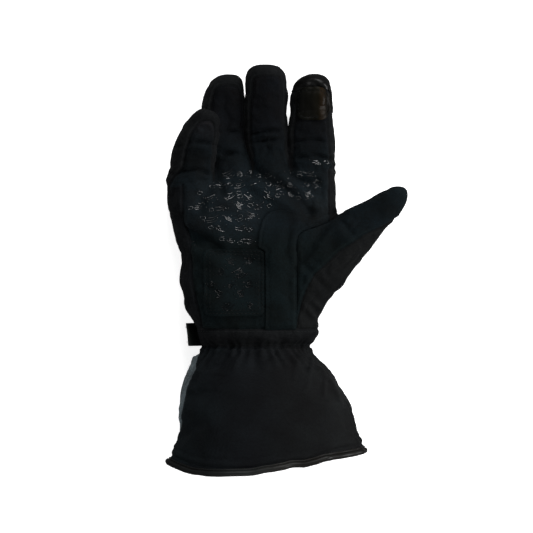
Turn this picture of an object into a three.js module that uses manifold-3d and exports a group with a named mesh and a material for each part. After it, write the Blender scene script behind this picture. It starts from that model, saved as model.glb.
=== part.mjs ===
// Winter motorcycle glove for the right hand, lying on its back with the palm up.
// Millimetres. +X points to the thumb side, +Y to the fingertips, +Z up out of the palm.
// The origin is on the flat patch of the back of the hand that the glove rests on.
import * as THREE from 'three';
import { mergeVertices } from 'three/addons/utils/BufferGeometryUtils.js';
import Module from 'manifold-3d';

const wasm = await Module();
wasm.setup();

// Driving sizes
const WALL = 3; // face fabric, membrane, wadding and lining sewn together
const SEAM = 0.3; // gap that parts two panels along a sewn seam
const OVERLAY = 1.2; // thickness of a reinforcement sewn on top of the shell
const LEATHER = 1.2; // thickness of the fingertip leather
const KNUCKLE = { y: 61, slope: 0.119 }; // slanted line where the finger stalls are sewn on
const MID_Z = 19; // height of the side seams between front and back
const TALL = 160; // reach of a cutting solid
const HEM = { wide: 5.2, deep: 3.8, sides: 6, around: 44 }; // binding that closes the edge of the gauntlet
// Strap across the back of the wrist, from one angle of the wrist's section to the other, in degrees.
const STRAP = { thick: 1.8, from: -14, to: -156, steps: 14, lift: 8 };

// Exponents of the superellipses that the sections are: 2 is an ellipse, and more is squarer.
const SQUARE = { palm: 2.5, finger: 2.35, cuff: 2.25 };
// How finely a stall and the palm are meshed, on the face side and on the hidden inner side.
const FACE = { plain: 3, tip: [0, 0.5, 0.82, 0.97], sides: 16, palmSides: 28, palmStep: 10 };
const LINING = { plain: 2, tip: [0, 0.65, 0.92], sides: 10, palmSides: 16, palmStep: 20 };

// Outlines of the palm body, one row for each cross section from the wrist to the knuckles.
// y is taken at x = 0 and slope leans the section; dip is the depth of the hollow of the hand.
const PALM_ROWS = [
  { y: -48.5, slope: 0, left: -41, right: 49.5, low: 4, high: 45, dip: 0 },
  { y: -36, slope: 0, left: -45.6, right: 48, low: 1, high: 46.5, dip: 1.5 },
  { y: -20, slope: 0, left: -50.4, right: 49, low: -1, high: 46, dip: 4 },
  { y: 0, slope: 0.02, left: -49.5, right: 54, low: -1.5, high: 44.5, dip: 5 },
  { y: 18, slope: 0.05, left: -53.6, right: 60, low: -1.5, high: 42.5, dip: 3.5 },
  { y: 36, slope: 0.08, left: -57.8, right: 62.8, low: -1.2, high: 40.5, dip: 1 },
  { y: 50, slope: 0.11, left: -60.8, right: 62.6, low: -0.6, high: 37, dip: 0 },
  { y: 60, slope: 0.119, left: -60.4, right: 62.6, low: 1.5, high: 34.5, dip: 0 },
];
const CUPPED = { x: 2, wide: 22 }; // middle and half width of the hollow of the hand
const CREASE_ROOM = 1.6; // how much lower the lining lies in the palm, which leaves a wall under its creases

// Finger stalls. Each row is a cross section at one y; the tip is rounded over its last millimetres.
// folds are the flexing creases across the palm side, by y.
const FINGERS = {
  middle: {
    tip: 143.6, round: 9.5, blunt: 2.3, folds: [{ y: 94.5, depth: 0.8 }, { y: 88.5, depth: 1.5 }],
    rows: [
      { y: 40, left: 2, right: 33, low: 1, high: 36 },
      { y: 57, left: 2, right: 33, low: 2, high: 34.5 },
      { y: 70, left: 1, right: 29.8, low: 3, high: 33.5 },
      { y: 85, left: -3, right: 28, low: 4, high: 33.5 },
      { y: 100, left: -4.2, right: 27, low: 6, high: 34.5 },
      { y: 125, left: -3.9, right: 26.9, low: 11, high: 36.5 },
      { y: 144, left: -3.2, right: 26.2, low: 14, high: 37 },
    ],
  },
  index: {
    tip: 136.4, round: 14.5, blunt: 2, folds: [{ y: 88, depth: 0.8 }, { y: 76.5, depth: 1.5 }],
    rows: [
      { y: 40, left: 33, right: 62.7, low: 1, high: 36 },
      { y: 57, left: 31.6, right: 62.6, low: 2, high: 34.5 },
      { y: 70, left: 29, right: 62, low: 3, high: 33.5 },
      { y: 95, left: 26.8, right: 61.2, low: 4.5, high: 33 },
      { y: 110, left: 28.4, right: 59.2, low: 7, high: 34 },
      { y: 122, left: 30.8, right: 58.9, low: 10, high: 34.5 },
      { y: 138, left: 33, right: 58.2, low: 13, high: 35 },
    ],
  },
  ring: {
    tip: 137, round: 10.5, blunt: 2.2, folds: [{ y: 93, depth: 0.8 }, { y: 79.5, depth: 1.3 }],
    rows: [
      { y: 40, left: -27, right: 2, low: 1, high: 36 },
      { y: 57, left: -28, right: 4, low: 2, high: 34 },
      { y: 70, left: -28.5, right: 3, low: 2.5, high: 31.5 },
      { y: 85, left: -33, right: -1.4, low: 2.5, high: 29 },
      { y: 100, left: -37.5, right: -3.4, low: 3, high: 28 },
      { y: 113, left: -37.9, right: -3.8, low: 5, high: 29.5 },
      { y: 126, left: -32.2, right: -4.4, low: 8, high: 31 },
      { y: 138, left: -27.8, right: -4.6, low: 10, high: 31.5 },
    ],
  },
  little: {
    tip: 109.6, round: 9, blunt: 2.3, folds: [{ y: 86.5, depth: 1.2 }, { y: 66.5, depth: 1.2 }],
    rows: [
      { y: 36, left: -59.5, right: -24, low: 1, high: 37 },
      { y: 50, left: -60.8, right: -24, low: 2, high: 36.5 },
      { y: 60, left: -60.5, right: -24.5, low: 5, high: 37 },
      { y: 72, left: -59, right: -25.6, low: 11, high: 41 },
      { y: 83, left: -56, right: -23.5, low: 17.5, high: 46 },
      { y: 95, left: -50.8, right: -21.2, low: 24, high: 50.5 },
      { y: 103, left: -46, right: -20.8, low: 28, high: 53 },
      { y: 110, left: -42.5, right: -20.8, low: 31, high: 54.5 },
    ],
  },
};
const FOLD_REACH = 3; // from the bottom of a flexing crease to its edge
const GIVES_WAY_TO = { index: 'middle', ring: 'middle', little: 'ring' }; // pressed against its neighbour

// The thumb with the ball of the hand below it, in its own frame: y runs along the thumb.
const THUMB = {
  at: [30, -25], turn: -47.55, tip: 114.8, round: 16, blunt: 2.1,
  folds: [{ y: 63, depth: 0.7 }, { y: 22, depth: 0.9 }],
  rows: [
    { y: -4, left: -22, right: 26.5, low: 1, high: 43 },
    { y: 14, left: -21.5, right: 22.5, low: 0.5, high: 45 },
    { y: 32, left: -21, right: 19.8, low: 2, high: 44.5 },
    { y: 48, left: -20.5, right: 16.8, low: 5, high: 42.5 },
    { y: 64, left: -19.2, right: 13.6, low: 9, high: 40.5 },
    { y: 84, left: -16.4, right: 10.6, low: 12.5, high: 39 },
    { y: 103, left: -11.2, right: 8.4, low: 16, high: 38 },
    { y: 116, left: -8.8, right: 5.8, low: 18, high: 37 },
  ],
};

// Creases pressed into the palm side, each a straight valley in plan.
const PALM_FOLDS = [
  { from: [-56, 25], to: [10, 1], wide: 5.5, depth: 2.8 },
  { from: [24, 56], to: [47, 33], wide: 4.5, depth: 2.4 },
  { from: [-3, 54], to: [20, 36], wide: 4.5, depth: 2 },
  { from: [-26, 50], to: [-22, 40], wide: 4, depth: 1.6 },
];

// Wrist band and gauntlet, one row for each section. tilt leans the section in plan and bow lifts its
// little finger side. gather is the depth of the elastic gathers, and fold the height of two soft folds.
const BAND_ROWS = [
  { y: -48.8, tilt: 0, bow: 0, left: -41, right: 49.5, low: 4, high: 45, gather: 0, fold: 0 },
  { y: -54, tilt: 0, bow: 0, left: -40, right: 48.8, low: 4.2, high: 44.8, gather: 0.6, fold: 0 },
  { y: -61.35, tilt: 0, bow: 0, left: -36.2, right: 43.8, low: 5.4, high: 41.4, gather: 1.3, fold: 0 },
];
const CUFF_ROWS = [
  { y: -61.65, tilt: 0, bow: 0, left: -36.1, right: 43.9, low: 5.4, high: 41.4, gather: 1.3, fold: 0 },
  { y: -66, tilt: 0, bow: 0, left: -37, right: 46, low: 4.6, high: 43.5, gather: 1.6, fold: 0.6 },
  { y: -72, tilt: 0, bow: 0, left: -42, right: 51.8, low: 2.8, high: 47, gather: 1.2, fold: 1.4 },
  { y: -80, tilt: 0, bow: 0, left: -45.8, right: 59.4, low: 0.6, high: 51, gather: 0.5, fold: 1.6 },
  { y: -92, tilt: 0.02, bow: 2, left: -49.4, right: 65.8, low: -0.8, high: 55, gather: 0.1, fold: 1.2 },
  { y: -108, tilt: 0.07, bow: 7, left: -51.6, right: 73.4, low: -1.2, high: 58.5, gather: 0, fold: 0.6 },
  { y: -126, tilt: 0.13, bow: 13, left: -51.2, right: 77, low: -1.2, high: 61, gather: 0, fold: 0.2 },
  { y: -149.4, tilt: 0.19, bow: 19, left: -59.4, right: 83.2, low: -1.2, high: 61.5, gather: 0, fold: 0 },
];
// Inner face of the strap; end is how far its free end stands off to the little finger side.
const STRAP_ROWS = [
  { y: -60.2, left: -37.6, right: 45.2, low: 4.4, high: 43, end: -45.2 },
  { y: -52.5, left: -41.2, right: 50.2, low: 3.2, high: 46, end: -45.9 },
  { y: -45.4, left: -44.2, right: 51, low: 2.4, high: 47, end: -47 },
];
const RING_SIDES = 56;
const GATHERS = 14;
const SEAM_ANGLE = 0.35; // half the gap of a side seam of the gauntlet, in degrees
const CUFF_FOLDS = [{ angle: 38, wide: 9 }, { angle: 22, wide: 7 }]; // degrees up from the thumb side
// Side seams of the gauntlet, as angles of its section, one row for each y.
const CUFF_SEAM_ROWS = [
  { y: -150, thumb: 8, little: 186 },
  { y: -112, thumb: 12, little: 178 },
  { y: -92, thumb: 16, little: 164 },
  { y: -75, thumb: 22, little: 152 },
  { y: -61, thumb: 24, little: 150 },
];

// Seams of the hand in plan, each a run of points from the wrist towards the fingers.
const LITTLE_SIDE_SEAM = [
  [-35, -60], [-36, -40], [-41.5, -12], [-42, 10], [-46.5, 26], [-48.5, 40], [-48.5, 90],
];
const LITTLE_SIDE = [...LITTLE_SIDE_SEAM, [-TALL, 90], [-TALL, -60]];
const INDEX_SIDE_SEAM = [[57.2, 24], [57.2, 90]];
const THUMB_SEAM = [[33.5, -60], [33.5, 14], [34.6, 19.5], [39, 23.5], [62.5, 31.5], [66, 40], [66, 70]];
const THUMB_PANEL_SEAM = [
  [34, -46], [37, -30], [40.8, -19.7], [46.4, -9.3], [63.5, 6.8],
  [83.4, 20], [96, 25.5], [106, 32], [130, 50],
];
const PALM_FRONT = [
  ...LITTLE_SIDE_SEAM,
  [57.2, 90], [57.2, 29.83], [39, 23.5], [34.6, 19.5], [33.5, 14], [33.5, -60],
];
const THUMB_REGION = [...THUMB_SEAM, [140, 70], [140, -60]];
const THUMB_FRONT = [...THUMB_PANEL_SEAM, [130, 70], [33.5, 70], [33.5, -46]];

// Reinforcements in plan
const SADDLE_OUTLINE = [
  [11.3, -42.5], [32.4, -42.5], [32.4, 15], [33.6, 20.4], [38, 24.8], [55.5, 30.8], [55.5, 34.2],
  [43, 33.8], [31, 35.4], [20, 37.2], [12.5, 34.5], [8.6, 28.5], [6.6, 19], [6.2, 10.4], [11.3, 8.5],
];
const HEEL_PATCH = { left: -32.6, right: 10.2, low: -38.6, high: 9, corner: 3.5 };
const TOUCH_PAD = { left: 34.8, right: 56.4, low: 103, high: 127.4, corner: 7.5 };
const TIP_CAP_OUTLINE = [
  [24, 121], [34, 123], [37.5, 126.5], [42.5, 128.2], [49, 128.2], [54, 126.5], [57.2, 121],
  [57.2, 109], [70, 108], [70, 150], [24, 150],
];

// A three.js geometry as a solid that can be joined and cut, and back again.
function solid(geometry) {
  const bare = geometry.clone();
  bare.deleteAttribute('normal');
  bare.deleteAttribute('uv');
  const merged = mergeVertices(bare, 1e-4);
  return new wasm.Manifold(new wasm.Mesh({
    numProp: 3,
    vertProperties: merged.attributes.position.array,
    triVerts: new Uint32Array(merged.index.array),
  }));
}

function meshed(positions, index) {
  const geometry = new THREE.BufferGeometry();
  geometry.setAttribute('position', new THREE.BufferAttribute(new Float32Array(positions), 3));
  geometry.setIndex(new THREE.BufferAttribute(new Uint32Array(index), 1));
  geometry.computeVertexNormals();
  return geometry;
}

function geometryOf(manifold) {
  const mesh = manifold.getMesh();
  return meshed(mesh.vertProperties, mesh.triVerts);
}

// All columns of a table as smooth functions of its column y.
function smooth(table) {
  const rows = [...table].sort((a, b) => a.y - b.y);
  const columns = Object.keys(rows[0]).filter((name) => name !== 'y');
  const samples = rows.flatMap((row) => columns.map((name) => row[name]));
  const curve = new THREE.CubicInterpolant(rows.map((row) => row.y), samples, columns.length);
  return (y) => {
    const values = curve.evaluate(y);
    return { y, ...Object.fromEntries(columns.map((name, i) => [name, values[i]])) };
  };
}

// Two triangles for each cell of a grid of points, rings by sides.
function cells(rings, sides, { start = 0, closed = true, looped = false, flip = false } = {}) {
  const corner = (j, i) => start + (j % rings) * sides + (i % sides);
  const index = [];
  for (let j = 0; j < (looped ? rings : rings - 1); j += 1) {
    for (let i = 0; i < (closed ? sides : sides - 1); i += 1) {
      const [a, b, c, d] = [corner(j, i), corner(j, i + 1), corner(j + 1, i + 1), corner(j + 1, i)];
      index.push(...(flip ? [a, c, b, a, d, c] : [a, b, c, a, c, d]));
    }
  }
  return index;
}

// Closed rings of points skinned into a solid body, with a fan across each end.
function loft(rings) {
  const sides = rings[0].length;
  const last = (rings.length - 1) * sides;
  const index = cells(rings.length, sides);
  for (let i = 1; i + 1 < sides; i += 1) {
    index.push(0, i + 1, i);
    index.push(last, last + i, last + i + 1);
  }
  return meshed(rings.flat().flatMap((p) => p.toArray()), index);
}

// The wall between an outer and an inner grid of points, joined along each edge. Closed rings make
// a sleeve with two edges, and open ones a panel with one edge all round.
function wall(outer, inner, closed) {
  const rings = outer.length;
  const sides = outer[0].length;
  const far = rings * sides;
  const index = cells(rings, sides, { closed });
  index.push(...cells(rings, sides, { start: far, closed, flip: true }));
  const along = (j) => Array.from({ length: sides }, (unused, i) => j * sides + i);
  const up = (i) => Array.from({ length: rings - 2 }, (unused, j) => (j + 1) * sides + i);
  const first = along(0);
  const last = along(rings - 1).reverse();
  const edges = closed ? [first, last] : [[...first, ...up(sides - 1), ...last, ...up(0).reverse()]];
  for (const edge of edges) {
    edge.forEach((from, k) => {
      const to = edge[(k + 1) % edge.length];
      index.push(to, from, far + from, to, far + from, far + to);
    });
  }
  return meshed([...outer.flat(), ...inner.flat()].flatMap((p) => p.toArray()), index);
}

const bump = (distance, reach) => Math.exp(-((distance / reach) ** 2));

// A point of a superellipse section, grown outwards.
function ovalPoint({ y, left, right, low, high }, angle, grow, square) {
  const shaped = (value) => Math.sign(value) * Math.abs(value) ** (2 / square);
  const x = (left + right) / 2 + ((right - left) / 2 + grow) * shaped(Math.cos(angle));
  const z = (low + high) / 2 + ((high - low) / 2 + grow) * shaped(Math.sin(angle));
  return new THREE.Vector3(x, y, z);
}

// Equal steps round a whole section, in the order that makes the faces of a loft point out.
const turns = (sides) => Array.from({ length: sides }, (unused, i) => (-2 * Math.PI * i) / sides);

// What would sink below the surface that the glove rests on is flattened there.
const rest = (point, grow) => point.setZ(Math.max(point.z, -grow));

// Depth of the palm creases at a point in plan.
function palmCrease(x, y) {
  const point = new THREE.Vector3(x, y, 0);
  const nearest = new THREE.Vector3();
  return PALM_FOLDS.reduce((sum, fold) => {
    const line = new THREE.Line3(new THREE.Vector3(...fold.from, 0), new THREE.Vector3(...fold.to, 0));
    line.closestPointToPoint(point, true, nearest);
    return sum + fold.depth * bump(nearest.distanceTo(point), fold.wide);
  }, 0);
}

// The palm without fingers or thumb, grown outwards; a shrunk one is the hollow inside.
function palmBody(grow) {
  const hollow = grow < 0;
  const { palmSides, palmStep } = hollow ? LINING : FACE;
  const section = smooth(PALM_ROWS);
  const [first, last] = [PALM_ROWS[0].y, PALM_ROWS.at(-1).y];
  const count = Math.round((last - first) / palmStep);
  const rings = Array.from({ length: count + 1 }, (unused, j) => {
    const row = section(first + ((last - first) * j) / count);
    const middle = (row.low + row.high) / 2;
    const ends = (j === count || (j === 0 && hollow)) ? grow : 0;
    return turns(palmSides).map((angle) => {
      const point = ovalPoint(row, angle, grow, SQUARE.palm);
      point.y += row.slope * point.x + ends;
      if (point.z > middle) {
        const crease = hollow ? CREASE_ROOM : palmCrease(point.x, point.y);
        point.z -= row.dip * bump(point.x - CUPPED.x, CUPPED.wide) + crease;
      }
      return rest(point, grow);
    });
  });
  return solid(loft(rings));
}

// Rings of a stall along y with a rounded tip, grown outwards.
function stallRings({ rows, tip, round, blunt, folds }, grow) {
  const hollow = grow < 0;
  const mesh = hollow ? LINING : FACE;
  const section = smooth(rows);
  const start = rows[0].y;
  const roundFrom = tip - round;
  const step = (roundFrom - start) / mesh.plain;
  const plain = Array.from({ length: mesh.plain }, (unused, j) => start + step * j);
  const creased = hollow ? [] : folds.flatMap(({ y }) => [y - FOLD_REACH, y, y + FOLD_REACH]);
  const rounded = mesh.tip.map((share) => roundFrom + round * share);
  const stations = [...plain, ...creased, ...rounded].sort((a, b) => a - b);
  return stations.filter((y, i) => i === 0 || y - stations[i - 1] > FOLD_REACH / 8).map((y) => {
    const row = section(y);
    const share = Math.max(0, (y - roundFrom) / round);
    const narrow = (1 - share ** blunt) ** (1 / blunt);
    const [halfX, halfZ] = [(row.right - row.left) / 2, (row.high - row.low) / 2];
    const [midX, midZ] = [(row.right + row.left) / 2, (row.high + row.low) / 2];
    const depth = folds.reduce((sum, fold) => sum + fold.depth * bump(y - fold.y, FOLD_REACH / 1.6), 0);
    const shrunk = {
      y: y + grow * Math.min(1, share * 1.2),
      left: midX - halfX * narrow,
      right: midX + halfX * narrow,
      low: midZ - halfZ * narrow,
      high: midZ + halfZ * narrow,
    };
    return turns(mesh.sides).map((angle) => {
      const point = ovalPoint(shrunk, angle, grow * narrow, SQUARE.finger);
      if (!hollow) point.z -= depth * Math.max(0, (point.z - midZ) / halfZ);
      return rest(point, grow);
    });
  });
}

const fingerBody = (name, grow) => solid(loft(stallRings(FINGERS[name], grow)));

function thumbBody(grow) {
  const turned = new THREE.Matrix4().makeRotationZ(THREE.MathUtils.degToRad(THUMB.turn));
  return solid(loft(stallRings(THUMB, grow)).applyMatrix4(turned.setPosition(...THUMB.at, 0)));
}

// A finger's body, cut back from the neighbour that it is pressed against.
function freeFinger(name, grow, clearance) {
  const neighbour = GIVES_WAY_TO[name];
  const body = fingerBody(name, grow);
  return neighbour ? body.subtract(fingerBody(neighbour, clearance)) : body;
}

function handBody(grow) {
  return Object.keys(FINGERS).reduce(
    (body, name) => body.add(freeFinger(name, grow, SEAM - grow)),
    palmBody(grow).add(thumbBody(grow)),
  );
}

// An outline in plan as an upright prism.
function prism(outline, low = -TALL) {
  const shape = new THREE.Shape(outline.map(([x, y]) => new THREE.Vector2(x, y)));
  const geometry = new THREE.ExtrudeGeometry(shape, { depth: TALL - low, bevelEnabled: false });
  return solid(geometry.translate(0, 0, low));
}

// A thin upright blade along a run of points: what it cuts away is the gap of a seam.
function blade(points, low = -TALL) {
  const boxes = points.slice(1).map((to, i) => {
    const from = points[i];
    const [dx, dy] = [to[0] - from[0], to[1] - from[1]];
    const box = new THREE.BoxGeometry(Math.hypot(dx, dy) + SEAM / 2, SEAM, TALL - low);
    box.rotateZ(Math.atan2(dy, dx));
    return solid(box.translate(from[0] + dx / 2, from[1] + dy / 2, (TALL + low) / 2));
  });
  return boxes.reduce((all, one) => all.add(one));
}

// The sewn shell of the hand, cut apart along its seams.
const knuckleLine = [-TALL, TALL].map((x) => [x, KNUCKLE.y + KNUCKLE.slope * x]);
const beyondKnuckles = prism([...knuckleLine, [TALL, TALL], [-TALL, TALL]]);
const shell = handBody(0).subtract(handBody(-WALL))
  .subtract(blade(knuckleLine))
  .subtract(blade(LITTLE_SIDE_SEAM))
  .subtract(blade(THUMB_SEAM))
  .subtract(blade(INDEX_SIDE_SEAM, MID_Z))
  .subtract(blade(THUMB_PANEL_SEAM, MID_Z));
const stalls = shell.intersect(beyondKnuckles);
const hand = shell.subtract(beyondKnuckles);
const thumb = hand.intersect(prism(THUMB_REGION));
const palm = hand.subtract(prism(THUMB_REGION));
const sidePanel = palm.intersect(prism(LITTLE_SIDE));
const palmAndBack = palm.subtract(prism(LITTLE_SIDE));

// The share of the stalls that lies round one finger.
const fingerStall = (name) => stalls.intersect(freeFinger(name, SEAM / 3, SEAM / 2));

// Front panels lie inside their outline above the side seams, and the back ones are the rest.
const frontPanel = (part, outline) => part.intersect(prism(outline, MID_Z + SEAM / 2));
const backPanel = (part, outline) => part.subtract(prism(outline, MID_Z - SEAM / 2));

// A reinforcement is a skin between two offsets of a body, cut to a prism.
function reinforcement(body, thick, outline) {
  return body(SEAM + thick).subtract(body(SEAM)).intersect(outline);
}

function roundedBox({ left, right, low, high, corner }) {
  const shape = new THREE.Shape();
  shape.absarc(right - corner, low + corner, corner, -Math.PI / 2, 0);
  shape.absarc(right - corner, high - corner, corner, 0, Math.PI / 2);
  shape.absarc(left + corner, high - corner, corner, Math.PI / 2, Math.PI);
  shape.absarc(left + corner, low + corner, corner, Math.PI, 1.5 * Math.PI);
  return shape.getPoints(4).map((p) => [p.x, p.y]);
}

// Elastic gathers round the wrist, from 0 at the crests down, and the soft folds by the thumb side.
function gathering(angle) {
  const wave = 0.65 * Math.cos(GATHERS * angle + 0.9 * Math.sin(3 * angle));
  return wave + 0.35 * Math.cos((GATHERS - 1) * angle + 1.1) - 1;
}

function softFolds(angle) {
  return CUFF_FOLDS.reduce((sum, fold) => {
    const away = THREE.MathUtils.radToDeg(angle) - fold.angle;
    return sum + bump(away, fold.wide) - 0.8 * bump(away + 1.6 * fold.wide, fold.wide);
  }, 0);
}

// The lining runs smoothly under the gathers and the folds, low enough to leave a wall below them.
function cuffPoint(row, angle, grow) {
  const lining = -row.gather - row.fold / 2;
  const raised = grow < 0 ? lining : row.gather * gathering(angle) + row.fold * softFolds(angle);
  const point = ovalPoint(row, angle, grow + raised, SQUARE.cuff);
  const nominal = ovalPoint(row, angle, 0, SQUARE.cuff);
  const [middle, half] = [(row.left + row.right) / 2, (row.right - row.left) / 2];
  point.y += row.tilt * (nominal.x - middle) + row.bow * Math.min(0, (nominal.x - middle) / half) ** 2;
  return rest(point, grow);
}

function wristBand() {
  const rows = [...BAND_ROWS].sort((a, b) => a.y - b.y);
  const sleeve = (grow) => rows.map((row) => turns(RING_SIDES).map((angle) => cuffPoint(row, angle, grow)));
  return wall(sleeve(0), sleeve(-WALL), true);
}

// Points round part of a section, from one angle to the other, in degrees.
function arc(row, from, to, sides, grow) {
  const angles = Array.from({ length: sides }, (unused, i) => from + ((to - from) * i) / (sides - 1));
  return angles.map((angle) => cuffPoint(row, THREE.MathUtils.degToRad(angle), grow));
}

// One half of the gauntlet, between its two side seams.
function cuffPanel(front) {
  const seams = smooth(CUFF_SEAM_ROWS);
  const rows = [...CUFF_ROWS].sort((a, b) => a.y - b.y);
  const half = (grow) => rows.map((row) => {
    const { thumb: right, little: left } = seams(row.y);
    const [from, to] = front ? [left, right] : [right, left - 360];
    return arc(row, from - SEAM_ANGLE, to + SEAM_ANGLE, RING_SIDES / 2, grow);
  });
  return wall(half(0), half(-WALL), false);
}

// The strap follows the back of the wrist, then its free end leaves it in a straight line.
function wristStrap() {
  const face = (grow) => STRAP_ROWS.map(({ end, ...section }) => {
    const row = { ...section, tilt: 0, bow: 0, gather: 0, fold: 0 };
    const points = arc(row, STRAP.from, STRAP.to, STRAP.steps + 1, grow);
    const tip = new THREE.Vector3(end - grow + STRAP.thick, row.y, points.at(-1).z + STRAP.lift);
    return [...points, points.at(-1).clone().lerp(tip, 0.5), tip];
  });
  return wall(face(STRAP.thick), face(0), false);
}

// Binding round the edge of the gauntlet: a bead swept along the last section.
function hemBinding() {
  const row = CUFF_ROWS.at(-1);
  const rings = Array.from({ length: HEM.sides }, (unused, k) => {
    const turn = (2 * Math.PI * (k + 0.5)) / HEM.sides;
    const out = (HEM.wide / 2) * Math.cos(turn) - WALL / 2;
    const down = SEAM + (HEM.deep / 2) * (1 - Math.sin(turn));
    return turns(HEM.around).map((angle) => {
      const edge = cuffPoint(row, angle, 0);
      const point = cuffPoint(row, angle, out);
      return new THREE.Vector3(point.x, edge.y - down, Math.max(point.z, 0));
    });
  });
  return meshed(rings.flat().flatMap((p) => p.toArray()), cells(HEM.sides, HEM.around, { looped: true }));
}

const cloth = (color, roughness) => new THREE.MeshStandardMaterial({ color, roughness, metalness: 0 });
const softshell = cloth(0x17191b, 0.9);
const suede = cloth(0x141719, 0.95);
const leather = cloth(0x1b1a19, 0.35);
const brownLeather = cloth(0x33261c, 0.5);
const webbing = cloth(0x0f1011, 0.8);
const greySoftshell = cloth(0x4a5053, 0.75);
const bindingTape = cloth(0x151515, 0.55);

const glove = new THREE.Group();
function add(name, material, shape) {
  const mesh = new THREE.Mesh(shape.isBufferGeometry ? shape : geometryOf(shape), material);
  mesh.name = name;
  glove.add(mesh);
}

for (const name of Object.keys(FINGERS)) add(`finger_${name}`, softshell, fingerStall(name));
add('thumb_front', suede, frontPanel(thumb, THUMB_FRONT));
add('thumb_back', softshell, backPanel(thumb, THUMB_FRONT));
add('palm_panel', softshell, frontPanel(palmAndBack, PALM_FRONT));
add('side_panel', softshell, sidePanel);
add('back_panel', softshell, backPanel(palmAndBack, PALM_FRONT));
add('palm_saddle', suede, reinforcement(handBody, OVERLAY, prism(SADDLE_OUTLINE, MID_Z)));
add('heel_patch', suede, reinforcement(handBody, OVERLAY, prism(roundedBox(HEEL_PATCH), MID_Z)));
const indexFinger = (grow) => fingerBody('index', grow);
const touchPad = prism(roundedBox(TOUCH_PAD), MID_Z);
add('index_touch_pad', brownLeather, reinforcement(indexFinger, OVERLAY, touchPad));
add('index_tip_cap', leather, reinforcement(indexFinger, LEATHER, prism(TIP_CAP_OUTLINE)));
add('wrist_band', softshell, wristBand());
add('wrist_strap', webbing, wristStrap());
add('cuff_front', softshell, cuffPanel(true));
add('cuff_back', greySoftshell, cuffPanel(false));
add('hem_binding', bindingTape, hemBinding());

export default glove;
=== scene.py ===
# %% [markdown]
# # A winter motorcycle glove, palm up
# The glove is a right-hand gauntlet glove that lies on its back. It is sewn from padded softshell
# panels, with patches on the palm, a leather cap on the index finger, an elastic wrist and a flared
# cuff. The CAD frame holds the true shape and size of every panel. This script makes the cloth.
#
# A glove could be made panel by panel, but real panels are pulled together by their seams. So the
# whole outside is made as one skin first, cut along the seams, inflated like wadding between them,
# and only then taken apart into its panels.

import math
import random

import bmesh
import bpy
import numpy as np
from mathutils import Matrix, Vector, noise
from mathutils.bvhtree import BVHTree
from mathutils.kdtree import KDTree


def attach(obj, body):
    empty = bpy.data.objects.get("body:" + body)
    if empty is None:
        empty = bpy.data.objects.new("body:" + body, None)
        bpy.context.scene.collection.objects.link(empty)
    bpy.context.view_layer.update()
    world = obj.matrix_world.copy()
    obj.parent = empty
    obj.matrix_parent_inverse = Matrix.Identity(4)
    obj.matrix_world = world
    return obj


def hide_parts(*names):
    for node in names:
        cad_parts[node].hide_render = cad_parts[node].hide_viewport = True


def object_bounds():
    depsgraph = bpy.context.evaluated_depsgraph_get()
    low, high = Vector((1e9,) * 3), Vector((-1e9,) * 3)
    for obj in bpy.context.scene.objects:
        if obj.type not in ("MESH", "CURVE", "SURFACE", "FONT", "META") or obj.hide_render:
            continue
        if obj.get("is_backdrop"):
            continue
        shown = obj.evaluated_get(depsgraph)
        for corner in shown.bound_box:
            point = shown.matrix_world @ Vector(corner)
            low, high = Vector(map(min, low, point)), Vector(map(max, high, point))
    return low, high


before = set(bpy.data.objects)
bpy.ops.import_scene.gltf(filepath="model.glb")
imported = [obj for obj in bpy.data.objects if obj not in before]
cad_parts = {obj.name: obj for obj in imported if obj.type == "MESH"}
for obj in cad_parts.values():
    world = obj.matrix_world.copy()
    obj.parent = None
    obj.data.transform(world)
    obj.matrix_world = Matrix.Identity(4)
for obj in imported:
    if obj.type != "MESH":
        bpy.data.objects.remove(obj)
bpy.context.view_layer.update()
MM = 0.001  # the scene is in metres, and sizes below are given in millimetres

# %% [markdown]
# ## Camera
# The photograph looks straight down on the glove from far away, so its outline hardly shrinks
# towards the edges. A long lens far above gives the same. The picture is 533 pixels wide, and
# one pixel is 0.728 mm on the glove at the height of its side seams.

# %% Camera straight above
PIXEL = 0.728 * MM
PICTURE = 533  # pixels across
MIDDLE = Vector((12.0, -3.3, 19.0)) * MM  # what the middle of the picture shows
CAMERA_HEIGHT = 2.6
SENSOR = 36  # mm across


def add_object(name, data):
    """Puts a mesh, curve, camera or light into the scene."""
    made = bpy.data.objects.new(name, data)
    bpy.context.scene.collection.objects.link(made)
    return made


camera_data = bpy.data.cameras.new("camera")
camera_data.sensor_width = SENSOR
camera_data.lens = SENSOR * CAMERA_HEIGHT / (PICTURE * PIXEL)
camera_data.clip_end = 20
camera = add_object("camera", camera_data)
camera.location = MIDDLE + Vector((0, 0, CAMERA_HEIGHT))
bpy.context.scene.camera = camera
print("lens, mm:", round(camera_data.lens))

# %% [markdown]
# ## Small helpers
# A mesh's points are read and written as one numpy array, which is much quicker than a loop.
# A modifier is used here as a tool: it is added, its result is kept as the new mesh, and it is
# removed again, so that the next step starts from plain geometry.


# %% Helpers for meshes
def values_of(items, name, each=1, kind=float):
    """One value, or a row of several, for each of a mesh's points, edges or faces."""
    flat = np.empty(len(items) * each, kind)
    items.foreach_get(name, flat)
    return flat if each == 1 else flat.reshape(-1, each)


def points_of(mesh):
    """The places of a mesh's points, one row each."""
    return values_of(mesh.vertices, "co", 3)


def normals_of(mesh):
    """The directions in which a mesh's points face, one row each."""
    return values_of(mesh.vertex_normals, "vector", 3)


def move_points(mesh, places):
    """Writes new places for a mesh's points."""
    mesh.vertices.foreach_set("co", places.ravel())
    mesh.update()


def bmesh_of(*meshes):
    """A bmesh that holds some meshes."""
    bm = bmesh.new()
    for mesh in meshes:
        bm.from_mesh(mesh)
    return bm


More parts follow.
